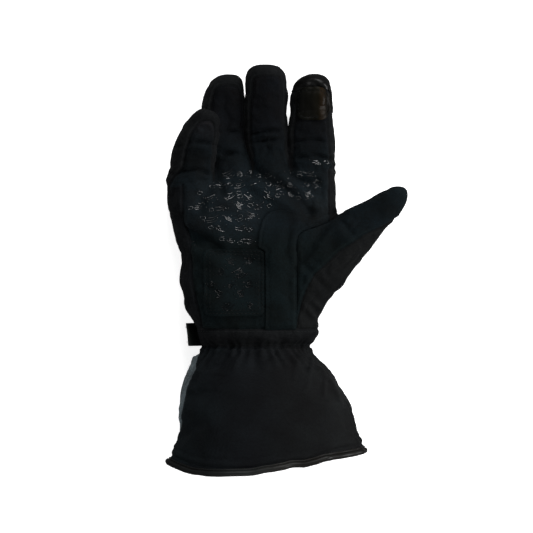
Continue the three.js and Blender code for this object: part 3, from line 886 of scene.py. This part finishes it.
def add(tree, kind, inputs=(), out=0, **settings):
    """Adds a node with its settings and inputs, and gives back one of its outputs."""
    node = tree.nodes.new("ShaderNode" + kind)
    set_all(node, settings)
    feed(node, dict(inputs))
    return node.outputs[out]


def new_material(name):
    """An empty material, its tree and the object coordinates in it."""
    made = bpy.data.materials.new(name)
    made.use_nodes = True
    return made, made.node_tree, add(made.node_tree, "TexCoord", out="Object")


def set_shader(tree, inputs):
    """Feeds the inputs of a material's Principled shader."""
    feed(tree.nodes["Principled BSDF"], inputs)


# %% Painted light and shade
MULTIPLY = {"data_type": "RGBA", "blend_type": "MULTIPLY"}


def paint_light_along(tree, place, colour, axis, steps):
    """Painted shade along x or y, axis 0 or 1: steps are places in mm with the share of colour left there.
    """
    start, end = steps[0][0], steps[-1][0]
    along = add(tree, "SeparateXYZ", {"Vector": place}, axis)
    share = add(tree, "MapRange", {"Value": along, "From Min": start * MM, "From Max": end * MM})
    ramp = add(tree, "ValToRGB", {"Fac": share})
    stops = ramp.node.color_ramp.elements
    while len(stops) < len(steps):
        stops.new(0.5)
    for stop, (at, left) in zip(stops, steps):
        stop.position = (at - start) / (end - start)
        stop.color = (*left, 1)
    return add(tree, "Mix", {0: 1.0, 6: colour, 7: ramp}, 2, **MULTIPLY)


def paint_light_spot(tree, place, colour, x, y, reach, *gain):
    """Multiplies a colour by a gain round a place in plan, in mm: painted light above 1, painted shade
    below.
    """
    flat = add(tree, "VectorMath", {0: place, 1: (1, 1, 0)}, operation="MULTIPLY")
    away = add(tree, "VectorMath", {0: flat, 1: (x * MM, y * MM, 0)}, "Value", operation="DISTANCE")
    limits = {"From Min": 0.0, "From Max": reach * MM, "To Min": 1.0, "To Max": 0.0}
    share = add(tree, "MapRange", {"Value": away, **limits}, interpolation_type="SMOOTHSTEP")
    return add(tree, "Mix", {0: share, 6: colour, 7: (*gain, 1)}, 2, **MULTIPLY)


def finish_surface(tree, colour, cloudy, glossy, dull, height, raised, specular):
    """Gives a shader its colour, a cloudy roughness, a relief of some metres and how much it mirrors."""
    limits = {"From Min": 0.3, "From Max": 0.7, "To Min": glossy, "To Max": dull}
    set_shader(tree, {
        "Base Color": colour,
        "Normal": add(tree, "Bump", {"Height": height, "Strength": 1.0, "Distance": raised}),
        "Roughness": add(tree, "MapRange", {"Value": cloudy, **limits}),
        "Specular IOR Level": specular,
    })


# %% Woven and brushed cloth
UNEVEN = 0.06  # by how much the roughness of cloth varies
WEAR_AT = 0.35  # where near_seam has this value, the cloth is most worn


def cloth_material(name, dark, light, roughness, thread, raised, specular, sheen, worn,
                   painted_light_ramp=None, painted_light_spots=()):
    """Cloth: a fine weave, cloudy colour, and a paler, worn ridge beside each seam.

    thread is the spacing of the threads and raised their height, both in mm. The last two arguments are
    painted light and shade: a ramp along x or y and spots, as the two helpers above take them.
    """
    made, tree, place = new_material(name)
    # Clouds of about 22 mm, and a grain of about 1 mm.
    cloudy = add(tree, "TexNoise", {"Vector": place, "Scale": 45.0, "Detail": 4.0})
    grain = add(tree, "TexNoise", {"Vector": place, "Scale": 900.0, "Detail": 3.0, "Roughness": 0.7})
    blend = add(tree, "Math", {0: cloudy, 1: grain}, operation="MULTIPLY")
    spread = add(tree, "MapRange", {"Value": blend, "From Min": 0.12, "From Max": 0.4})
    colour = add(tree, "Mix", {0: spread, 6: linear(dark), 7: linear(light)}, 2, data_type="RGBA")
    near = add(tree, "Attribute", out="Fac", attribute_name="near_seam")
    beside = add(tree, "Math", {0: near, 1: WEAR_AT}, operation="SUBTRACT")
    squared = add(tree, "Math", {0: beside, 1: beside}, operation="MULTIPLY")
    edge = add(tree, "MapRange", {"Value": squared, "From Min": 0.05, "From Max": 0.0})
    rub = add(tree, "Math", {0: edge, 1: near}, operation="MULTIPLY")
    share = add(tree, "Math", {0: rub, 1: grain}, operation="MULTIPLY")
    final = add(tree, "Mix", {0: share, 6: colour, 7: linear(worn)}, 2, data_type="RGBA")
    # Painted light and shade: a ramp along x or y, and spots made paler or darker.
    if painted_light_ramp is not None:
        final = paint_light_along(tree, place, final, *painted_light_ramp)
    for spot in painted_light_spots:
        final = paint_light_spot(tree, place, final, *spot)

    turned = add(tree, "Mapping", {"Vector": place, "Rotation": (0.0, 0.0, math.radians(45))})
    height = add(tree, "Math", {0: grain, 1: 3.0}, operation="MULTIPLY")
    for axis in range(3):
        along = add(tree, "SeparateXYZ", {"Vector": turned}, axis)
        phase = add(tree, "Math", {0: along, 1: math.tau / (thread * MM)}, operation="MULTIPLY")
        wave = add(tree, "Math", {0: phase}, operation="SINE")
        height = add(tree, "Math", {0: height, 1: wave}, operation="ADD")
    limits = roughness - UNEVEN, roughness + UNEVEN
    finish_surface(tree, final, cloudy, *limits, height, raised * MM / 3, specular)
    set_shader(tree, {"Sheen Weight": sheen, "Sheen Roughness": 0.5})
    return made


# Softshell: polyester knit with a dense matt face. Threads are 0.3 mm apart, drawn at 0.8 to show.
KNIT = ("08090a", "121314", 0.82, 0.8, 0.12, 0.03, 0.004, "1f2122")
softshell = cloth_material("softshell_knit", *KNIT)
# Side softshell: the same knit, on the side of the hand and at the wrist. Its colour carries painted shade:
# darker towards the left, away from the key light and in the shadow of the strap's tab.
side_softshell = cloth_material(
    "side_softshell_knit", *KNIT,
    painted_light_ramp=(0, ((-62, (0.76, 0.82, 0.88)), (-44, (0.74, 0.78, 0.84)), (-20, (1, 1, 1)))))
# Mixed softshell: the same knit with some paler yarn in it, on the outer side of the thumb.
thumb_softshell = cloth_material(
    "mixed_softshell_knit", "08090a", "121313", 0.8, 0.8, 0.14, 0.03, 0.005, "1d1e1f")
# Grey softshell: the same knit in mid grey, on the back of the gauntlet.
grey_softshell = cloth_material(
    "grey_softshell_knit", "2d3234", "525b5f", 0.85, 0.8, 0.25, 0.1, 0.01, "646c70")
# Cuff softshell: the same knit with a slightly smoother face. Its colour carries painted light: darker and
# bluer at the left, paler towards the right, where the key light falls, and a painted pool of light there.
cuff_softshell = cloth_material(
    "cuff_softshell_knit", "0b0b0c", "131516", 0.78, 0.8, 0.12, 0.03, 0.005, "202223",
    painted_light_ramp=(0, ((-50, (0.7, 0.9, 0.98)), (0, (0.8, 0.83, 0.91)), (30, (0.94, 0.93, 0.92)),
               (60, (1.0, 0.98, 0.95)))),
    painted_light_spots=((66, -86, 24, 1.4, 1.36, 1.33),))
# Synthetic suede: microfibre brushed to a short, very dull nap. Its colour carries painted light and shade:
# paler on the upper palm and in spots at the index base and on the little finger, darker on the heel and
# lower palm, towards the fingertips and at the thumb tip. Its nap is far finer than 0.6 mm, and is drawn at
# that to show.
suede = cloth_material(
    "brushed_suede", "090b0c", "0f161a", 0.9, 0.6, 0.08, 0.03, 0.003, "1b2022",
    painted_light_ramp=(1, ((-50, (0.74, 0.8, 0.71)), (12, (0.74, 0.8, 0.71)), (28, (1, 1, 1)), (56, (1, 1, 1)),
               (78, (0.74, 0.68, 0.66)), (100, (0.66, 0.5, 0.5)))),
    painted_light_spots=((-18, 40, 44, 1.36, 1.34, 1.34), (0, 33, 22, 1.4, 1.34, 1.33), (-40, 47, 16, 1.2, 1.1, 1.08),
            (-34, 99, 19, 2.2, 2.0, 1.9), (50, 41, 19, 1.5, 1.3, 1.2), (94, 44, 34, 0.7, 0.76, 0.76)))
# Lining: brushed fleece, seen only through the opening of the cuff.
lining = cloth_material("fleece_lining", "101112", "1d1f20", 0.95, 1.6, 0.4, 0.1, 0.05, "26282a")
# Strap webbing: coarse nylon tape, ribs 1.2 mm apart.
webbing = cloth_material("nylon_webbing", "131514", "232625", 0.75, 1.2, 0.3, 0.03, 0.003, "2a2c2b")


# %% Leather, print and thread
def smooth_material(name, dark, light, glossy, dull, grain_size, raised, specular, painted_light_ramp=None):
    """Leather or rubber: a pebbled or plain skin, glossy and duller in turn, sizes in mm."""
    made, tree, place = new_material(name)
    # Clouds of about 11 mm.
    cloudy = add(tree, "TexNoise", {"Vector": place, "Scale": 90.0, "Detail": 5.0})
    colour = add(tree, "Mix", {0: cloudy, 6: linear(dark), 7: linear(light)}, 2, data_type="RGBA")
    # Painted light and shade along x or y, where a ramp is given.
    if painted_light_ramp is not None:
        colour = paint_light_along(tree, place, colour, *painted_light_ramp)
    pebbles = add(tree, "TexVoronoi", {"Vector": place, "Scale": 1 / (grain_size * MM)}, feature="SMOOTH_F1")
    finish_surface(tree, colour, cloudy, glossy, dull, pebbles, raised * MM, specular)
    return made


# Tip leather: thin goatskin with a polished finish, pebbles of 0.9 mm that are hardly raised.
tip_leather = smooth_material("polished_goatskin", "040404", "090909", 0.22, 0.4, 0.9, 0.04, 0.13)
# Touch leather: conductive leather, dark brown, satin. Its colour carries painted light: dark at the left,
# and a painted highlight in a tan band towards the thumb, where the key light falls on its raised oval.
touch_leather = smooth_material(
    "conductive_leather", "121110", "201f1c", 0.24, 0.42, 0.8, 0.04, 0.03,
    painted_light_ramp=(0, ((34, (0.24, 0.27, 0.28)), (44, (0.3, 0.31, 0.28)), (49.5, (0.38, 0.35, 0.25)),
               (52, (0.85, 0.58, 0.36)), (54, (0.7, 0.55, 0.4)), (56, (0.36, 0.35, 0.34)))))
# Grip print: clear black silicone, printed thick, wet-looking.
silicone = smooth_material("silicone_print", "080b0d", "0f1316", 0.05, 0.16, 2.0, 0.01, 1.0)
# Worn grip print: the same silicone, rubbed dull on the heel of the hand.
worn_silicone = smooth_material("worn_silicone_print", "030405", "080a0b", 0.1, 0.32, 2.0, 0.02, 0.17)
# Binding: polyurethane-coated tape over a cord, satin. Its colour carries painted light: a painted highlight
# in the middle of the palm side, and painted shade towards both sides of the cuff.
coated_tape = smooth_material(
    "coated_binding_tape", "1a1b1b", "282928", 0.34, 0.5, 1.1, 0.05, 0.13,
    painted_light_ramp=(0, ((-60, (0.2, 0.2, 0.2)), (-25, (0.36, 0.38, 0.39)), (0, (0.62, 0.66, 0.66)),
               (22, (0.68, 0.64, 0.6)), (38, (0.36, 0.32, 0.28)), (75, (0.3, 0.27, 0.24)))))
# Thread: bonded nylon, slightly shiny.
thread = smooth_material("bonded_nylon_thread", "080a0a", "0f1111", 0.45, 0.6, 0.5, 0.03, 0.06)
print("materials:", len(bpy.data.materials))

# %% [markdown]
# ## Take the skin apart
# Each panel becomes its own piece, with its own cloth outside and fleece lining inside. A Solidify
# modifier gives the padding its thickness, inwards, because the skin already is the outside.

# %% Panels as pieces
OUTSIDE = {  # panel: its cloth and its material slot, where it is not plain softshell
    "thumb_inner_panel": (suede, "suede"),
    "thumb_outer_panel": (thumb_softshell, "softshell"),
    "palm_cloth": (suede, "suede"),
    "side_of_hand": (side_softshell, "softshell"),
    "gathered_wrist": (side_softshell, "softshell"),
    "gauntlet_front": (cuff_softshell, "softshell"),
    "gauntlet_back": (grey_softshell, "grey_softshell"),
}
FRONT_CLOTH = {"gauntlet_back": cuff_softshell, "gauntlet_front": grey_softshell}  # on the rest, suede


def take_off(name, wanted, *materials):
    """A piece made of the skin's faces for which wanted(panel, patch) is true."""
    bm = bmesh_of(skin.data)
    front = bm.faces.layers.int["is_front"]
    patch = bm.faces.layers.int["patch_of"]
    others = [face for face in bm.faces if not wanted(face.material_index, face[patch])]
    bmesh.ops.delete(bm, geom=others, context="FACES")
    for face in bm.faces:
        face.material_index = 2 if face[front] else 0
    bm.faces.layers.int.remove(front)
    bm.faces.layers.int.remove(bm.faces.layers.int["patch_of"])
    return smooth_piece(name, bm, *materials)


def smooth_piece(name, bm, *materials):
    """A piece from a bmesh, which is then done with, with smooth shading and its materials."""
    for face in bm.faces:
        face.smooth = True
    piece = add_object(name, mesh_of(bm, name))
    for material in materials:
        piece.data.materials.append(material)
    return piece


def declare(piece, slot, *nodes, fill=None):
    """Hangs a piece on the root and hides the CAD nodes that it stands for."""
    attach(piece, "root")
    if nodes:
        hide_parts(*nodes)
    print(piece.name, len(piece.data.polygons), "faces")


for index, (name, node) in enumerate(PANELS.items()):
    cloth, slot = OUTSIDE.get(name, (softshell, "softshell"))
    front_cloth = FRONT_CLOTH.get(name, suede)
    piece = take_off(name, lambda panel, patch: panel == index, cloth, lining, front_cloth, lining)
    weight_points(piece, "room", [entry.value for entry in piece.data.attributes["room"].data])
    use_modifier(piece, "SOLIDIFY", thickness=PADDING * MM, offset=-1, material_offset=1,
                 material_offset_rim=1, vertex_group="room")
    piece.vertex_groups.clear()
    piece.data.attributes.remove(piece.data.attributes["room"])
    piece.data.set_sharp_from_angle(angle=math.radians(55))
    declare(piece, slot, node, fill=0.5)

# %% [markdown]
# ## Patches
# A patch is the skin's own faces, copied, so that it follows every swell below it. Its edge is
# turned down and the stitches pull a shallow channel beside it.

# %% Lift the patches off the skin
PATCH_LOOKS = {  # patch: cloth, slot, thickness and channel's distance from the edge in mm, node
    "saddle_suede": (suede, "suede", 1.0, 2.2, "palm_saddle"),
    "heel_suede": (suede, "suede", 1.1, 2.6, "heel_patch"),
    "touch_leather_pad": (touch_leather, "touch_leather", 1.1, 1.7, "index_touch_pad"),
    "tip_leather_cap": (tip_leather, "tip_leather", 0.6, 1.6, "index_tip_cap"),
}


def pad_swelling(places, from_rim):
    """How the touch pad swells, in mm: fullest towards the thumb, with a flat oval and a raised rim."""
    middle = np.hypot(places[:, 0] - 49.5, (places[:, 1] - 119) * 0.8)
    oval = np.hypot((places[:, 0] - 48.4) / 4.4, (places[:, 1] - 116.8) / 6.6)
    swell = 0.5 * (1 - bump(from_rim, 4)) + 1.4 * bump(middle, 6.5)
    return swell + 0.7 * (1 - smooth_step(oval, 0.85, 1.25)) + 0.3 * bump(from_rim - 0.8, 0.6)


def cap_swelling(places, from_rim):
    """How the leather is drawn round the fingertip, in mm: two soft rolls, a ridge, a sunk left edge."""
    middle = from_spot(places, 43, 120)
    swell = 0.5 * bump(middle - 13, 1.6) - 0.5 * bump(middle - 10, 1.2)
    swell += 1.1 * bump(from_line(places, [(41, 127.3), (45, 128), (50, 128)]), 1.3)
    return swell - 0.6 * bump(from_rim, 1.2) * (1 - smooth_step(places[:, 0], 31, 35))


SWELLINGS = {"touch_leather_pad": pad_swelling, "tip_leather_cap": cap_swelling}
for number, (name, (leather, slot, thick, channel, node)) in enumerate(PATCH_LOOKS.items(), start=1):
    piece = take_off(name, lambda panel, patch: patch == number, leather)
    bm = bmesh_of(piece.data)
    rim = [index for index, edge in enumerate(bm.edges) if edge.is_boundary]
    bm.free()
    spots = points_of(piece.data)
    from_rim = distances(piece.data, rim, spots)
    lift = 0.1 - 0.38 * bump(from_rim - channel, 0.8) + 0.15 * (1 - bump(from_rim, 6))
    if name in SWELLINGS:
        lift += SWELLINGS[name](spots / MM, from_rim)
    move_points(piece.data, spots + normals_of(piece.data) * (lift * MM)[:, None])
    for face in piece.data.polygons:
        face.material_index = 0
    use_modifier(piece, "SOLIDIFY", thickness=thick * MM, offset=1)
    use_modifier(piece, "BEVEL", width=0.35 * MM, segments=2, limit_method="ANGLE",
                 angle_limit=math.radians(50))
    piece.data.set_sharp_from_angle(angle=math.radians(60))
    declare(piece, slot, node, fill=0.4)

# %% [markdown]
# ## Hem
# The edge of the cuff is bound with coated tape. A cord in its fold makes a round bead, and the
# upper edge of the tape stands up as a thin second ridge. Both are tubes along the skin's edge.

# %% Follow the hem
HEM_TUBES = ((2.15, 2.8), (0.8, 0.1))  # bead and ridge: radius, and mm past the skin's edge


def hem_line():
    """The skin's open edge in order, with the direction in which the cuff ends at each point."""
    bm = bmesh_of(skin.data)
    start = next(vert for vert in bm.verts if vert.is_boundary)
    line, vert, before = [], start, None
    while vert is not None and (vert is not start or before is None):
        line.append(vert)
        onward = [e.other_vert(vert) for e in vert.link_edges if e.is_boundary]
        following = next((v for v in onward if v is not before), None)
        before, vert = vert, following
    spots = np.array([vert.co for vert in line])
    inward = [np.mean([e.other_vert(v).co for e in v.link_edges if not e.is_boundary] or [v.co], axis=0)
              for v in line]
    bm.free()
    return spots, spots - np.array(inward)


def smoothed(rows, reach):
    """Rows of a closed line, each averaged with its neighbours."""
    total = sum(np.roll(rows, step, axis=0) for step in range(-reach, reach + 1))
    return total / (2 * reach + 1)


def tubes(lines, radius, closed=True, roundness=3):
    """A mesh of round tubes, each along a line of points."""
    curve = bpy.data.curves.new("tubes", "CURVE")
    set_all(curve, {"dimensions": "3D", "bevel_depth": radius * MM, "bevel_resolution": roundness,
                    "use_fill_caps": not closed})
    for line in lines:
        spline = curve.splines.new("POLY")
        spline.points.add(len(line) - 1)
        spline.points.foreach_set("co", np.column_stack([line, np.ones(len(line))]).ravel())
        spline.use_cyclic_u = closed
    made = add_object("tubes", curve)
    graph = bpy.context.evaluated_depsgraph_get()
    mesh = bpy.data.meshes.new_from_object(made.evaluated_get(graph))
    bpy.data.objects.remove(made)
    bpy.data.curves.remove(curve)
    return mesh


edge_line, ending = hem_line()
edge_line = smoothed(edge_line, 3)
ending = smoothed(ending, 9)
ending /= np.linalg.norm(ending, axis=1)[:, None]
hem = bmesh.new()
for radius, past in HEM_TUBES:
    line = edge_line + ending * past * MM
    line[:, 2] = np.maximum(line[:, 2], radius * MM)
    take_in(hem, tubes([line[::2]], radius))
declare(smooth_piece("hem_piping", hem, coated_tape), "binding", "hem_binding")

# %% [markdown]
# ## Strap
# A webbing strap closes the wrist across the back. Its shape comes straight from the frame, with
# its edges rounded by a bevel.

# %% Strap from the frame
SHARP = 0.9  # radians between two faces from which their edge is beveled
STRAP_MIDDLE = -52.8  # its y in mm

strap = merged_copy("wrist_strap")
sharp = [edge for edge in strap.edges if len(edge.link_faces) == 2 and edge.calc_face_angle() > SHARP]
bmesh.ops.bevel(strap, geom=sharp, offset=0.5 * MM, offset_type="OFFSET", segments=3, profile=0.5,
                affect="EDGES", material=-1)
for vert in strap.verts:  # its far end lies close round the wrist, and its free end is a little wider
    vert.co.x -= 3.0 * MM * smooth_step(vert.co.x / MM, 30, 50)
    vert.co.y += 0.13 * (vert.co.y - STRAP_MIDDLE * MM) * smooth_step(-vert.co.x / MM, 25, 35)
piece = smooth_piece("wrist_webbing", strap, webbing)
piece.data.set_sharp_from_angle(angle=math.radians(40))
declare(piece, "strap", "wrist_strap")

# %% [markdown]
# ## Stitches
# A row of stitches is one small capsule, copied along a line. The line is drawn in plan or round
# the wrist, and dropped onto the finished surface. Each stitch has only a few dozen faces.


# %% Find the finished surface
def surface_of(*names):
    """A search tree over finished pieces."""
    return surface_tree(bmesh_of(*[bpy.data.objects[name].data for name in names]))


def landed(surface, rays):
    """Where rays, each a start and a direction, meet a surface, and how it faces there."""
    found = [surface.ray_cast(*ray)[:2] for ray in rays]
    return [(spot, up) for spot, up in found if spot is not None]


outside = surface_of(*PANELS, *PATCHES)


def dropped(outline, closed=True, spacing=0.5):
    """Where a line in plan, in mm, lands on the surface: places, and how it faces there."""
    corners = [Vector((*corner, 200)) for corner in outline]
    if closed:
        corners.append(corners[0])
    rays = []
    for one, two in zip(corners, corners[1:]):
        steps = max(1, round((two - one).length / spacing))
        rays += [(one.lerp(two, step / steps) * MM, Vector((0, 0, -1))) for step in range(steps)]
    return landed(outside, rays)


def round_wrist(y, surface=outside, steps=480):
    """A line round the sleeve at one y in mm, on its surface or on that of the strap."""
    rays = []
    for step in range(steps):
        angle = math.tau * (step / steps + 0.25)
        out = Vector((math.cos(angle), 0, math.sin(angle)))
        rays.append((Vector((WRIST[0], y, WRIST[1])) * MM + out * 0.12, -out))
    return [(spot, up) for spot, up in landed(surface, rays) if abs(up.y) < 0.5]


# %% Sew along a line
STITCH = 1.9  # length in mm
STITCH_GAP = 0.7
STITCH_RADIUS = 0.24


def capsule():
    """A stitch: a low cylinder along x with its ends drawn in, pressed flat."""
    bm = bmesh.new()
    radius = STITCH_RADIUS * MM
    made = bmesh.ops.create_cone(bm, segments=6, radius1=radius, radius2=radius, depth=STITCH * MM,
                                 cap_ends=True)
    bmesh.ops.rotate(bm, verts=made["verts"], matrix=Matrix.Rotation(math.pi / 2, 3, "Y"))
    rims = [edge for edge in bm.edges if abs(edge.verts[0].co.x - edge.verts[1].co.x) < 1e-9]
    bmesh.ops.bevel(bm, geom=rims, offset=radius * 0.6, offset_type="OFFSET", segments=1, profile=0.5,
                    affect="EDGES", material=-1)
    bmesh.ops.scale(bm, verts=bm.verts, vec=(1, 1, 0.7))
    return mesh_of(bm)


def sew(bm, line):
    """Adds stitches along a line on the surface and gives their number."""
    travelled, count = 0.0, 0
    for (before, _), (spot, up), (after, _) in zip(line, line[1:], line[2:]):
        travelled += (spot - before).length / MM
        if travelled < STITCH + STITCH_GAP:
            continue
        travelled = 0.0
        along = (after - before).normalized()
        across = up.cross(along).normalized()
        up = along.cross(across)
        turn = Matrix((along, across, up)).transposed().to_4x4()
        turn.translation = spot + up * 0.05 * MM
        first = len(bm.verts)
        bm.from_mesh(stitch)
        bm.verts.ensure_lookup_table()
        bmesh.ops.transform(bm, matrix=turn, verts=bm.verts[first:])
        count += 1
    return count


def inset(box, by):
    """A rounded box's outline, moved in by some mm."""
    return rounded_box(box["left"] + by, box["right"] - by, box["low"] + by, box["high"] - by,
                       max(0.8, box["corner"] - by))


stitch = capsule()
stitching = bmesh.new()
on_strap = surface_of("wrist_webbing")
rows = [dropped(inset(HEEL, 1.5)), dropped(inset(HEEL, 3.8)), dropped(inset(TOUCH_PAD, 1.3))]
rows += [round_wrist(-47.0), round_wrist(-50.4)]
rows += [round_wrist(-47.4, on_strap), round_wrist(-58.2, on_strap)]
print("stitches per row:", [sew(stitching, line) for line in rows])
bpy.data.meshes.remove(stitch)
declare(smooth_piece("topstitching", stitching, thread), "softshell")

# %% [markdown]
# ## Grip print
# Clear silicone is printed on the palm and the heel for grip. Here it makes groups of short bent
# lines with rings and drops beside them, a plain pattern of the same size and shine. Each line is a
# thin tube that follows the cloth.

# %% Print the grip pattern
random.seed(3)
GRIP_AREA = [(-38, 30), (-12, 6), (2, 10), (8, 38), (30, 40), (52, 38), (55, 62), (50, 78), (30, 70),
             (10, 74), (-16, 72), (-24, 58), (-42, 52)]
HEEL_GRIP = inset(HEEL, 5.2)
COLUMN, ROW = 14.0, 8.0  # mm from one group to the next
LEANS = (-24, 18, 30)  # degrees by which a group may lean
BAR_RADIUS, RING_RADIUS, DROP_RADIUS = 0.3, 0.2, 0.42  # mm
RING_POINTS = 12


def streaks(x, y, lean, size):
    """The lines of one group, dropped onto the surface. They lie side by side, slightly bent."""
    lines = []
    for number in range(random.choice((3, 4, 5))):
        across = (number - 1.6) * 1.5
        shift = random.uniform(-1.8, 1.8)
        half = random.uniform(1.4, 4.8)
        line = []
        for step in range(-4, 5):
            along = shift + step / 4 * half
            aside = across + 0.9 * (step / 4) ** 2
            line.append((x + size * (along * math.cos(lean) - aside * math.sin(lean)),
                         y + size * (along * math.sin(lean) + aside * math.cos(lean))))
        hits = dropped(line, closed=False, spacing=9)
        if len(hits) > 5 and min(up.z for _, up in hits) > 0.5:
            lines.append([spot for spot, _ in hits])
    return lines


def ring(x, y, size):
    """A small drop-shaped ring beside a group, as a list of one line, or none where it falls off."""
    outline = []
    for step in range(RING_POINTS):
        angle = math.tau * step / RING_POINTS
        wide = 2.0 + 0.4 * math.sin(angle)
        outline.append((x + size * wide * math.cos(angle), y + size * 1.3 * math.sin(angle)))
    line = [spot for spot, _ in dropped(outline, spacing=9)]
    return [line] if len(line) == RING_POINTS else []


def drops(x, y, count):
    """Places of single drops of silicone beside a group."""
    found = []
    for _ in range(count):
        corner = (x + random.uniform(-6, 6), y + random.uniform(-3.4, 3.4))
        found += [spot for spot, _ in dropped([corner, corner], closed=False)]
    return found


prints = {"palm": ([], [], []), "heel": ([], [], [])}  # bars, rings and drops
for row in range(-8, 16):
    for column in range(-6, 9):
        x = column * COLUMN + (COLUMN / 2 if row % 2 else 0) + random.uniform(-1.2, 1.2)
        y = row * ROW + random.uniform(-0.8, 0.8)
        spot = np.array([[x, y]])
        in_palm = inside_outline(spot, GRIP_AREA)[0] > 2.5
        if in_palm or inside_outline(spot, HEEL_GRIP)[0] > 0:
            bars, rings, beads = prints["palm" if in_palm else "heel"]
            size = random.choice((0.7, 0.85, 1.0))
            bars += streaks(x, y, math.radians(random.choice(LEANS)), size)
            beside = ring(x + random.choice((-7, 7)), y + random.uniform(-2, 2), 0.9)
            rings += beside if in_palm else []
            beads += drops(x, y, 5)
grip = bmesh.new()
for number, (bars, rings, beads) in enumerate(prints.values()):
    for lines, closed, radius in ((bars, False, BAR_RADIUS), (rings, True, RING_RADIUS)):
        mesh = tubes(lines, radius, closed, roundness=1)
        for face in mesh.polygons:
            face.material_index = number
        take_in(grip, mesh)
    for bead in beads:
        made = bmesh.ops.create_uvsphere(grip, u_segments=6, v_segments=4, radius=DROP_RADIUS * MM)
        bmesh.ops.translate(grip, verts=made["verts"], vec=bead)
        for vert in made["verts"]:
            for face in vert.link_faces:
                face.material_index = number
    print("bars:", len(bars), "rings:", len(rings), "drops:", len(beads))
declare(smooth_piece("grip_print", grip, silicone, worn_silicone), "suede")

# %% [markdown]
# ## Floor and light
# The photograph is taken on a white ground without a shadow, like a table of white acrylic that is
# lit from below, under a soft light from the right and from beyond the fingertips. Large area
# lights give soft edges, and a grey world keeps the black cloth black.

# %% Floor and lights
bpy.data.objects.remove(skin)
floor_bm = bmesh.new()
bmesh.ops.create_grid(floor_bm, x_segments=1, y_segments=1, size=4)
floor = add_object("floor", mesh_of(floor_bm))
floor_paint, tree, _ = new_material("white_acrylic")
set_shader(tree, {
    "Base Color": (0.93, 0.93, 0.93, 1), "Roughness": 0.9, "Specular IOR Level": 0.1,
    "Emission Color": (1, 1, 1, 1), "Emission Strength": 0.65,
})
floor.data.materials.append(floor_paint)
floor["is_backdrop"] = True
floor.visible_glossy = False  # leather and coated tape don't mirror the white ground, as in the photograph

LIGHTS = {  # place, width in metres, power in watts, whether it shows in mirror reflections
    "key_light": ((1.6, -0.1, 0.9), 0.9, 40, True),
    "left_light": ((-1.5, 0.3, 1.15), 1.2, 10, False),
    "low_light": ((-0.2, -1.7, 1.1), 1.2, 8, True),
    "high_light": ((0.4, 1.6, 1.2), 1.0, 36, True),
}
for name, (place, size, power, mirrored) in LIGHTS.items():
    data = bpy.data.lights.new(name, "AREA")
    data.size = size
    data.energy = power
    light = add_object(name, data)
    light.location = place
    light.visible_glossy = mirrored
    light.rotation_euler = (Vector((0.01, 0, 0)) - light.location).to_track_quat("-Z", "Y").to_euler()
world = bpy.data.worlds.new("studio")
world.use_nodes = True
world.node_tree.nodes["Background"].inputs["Color"].default_value = (1, 1, 1, 1)
world.node_tree.nodes["Background"].inputs["Strength"].default_value = 0.14
bpy.context.scene.world = world
bpy.context.scene.view_settings.view_transform = "Standard"
print("lights:", list(LIGHTS))

# %% Size of the visual box
low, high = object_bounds()
print("visual box, mm:", [round(a / MM, 1) for a in (*low, *high)])
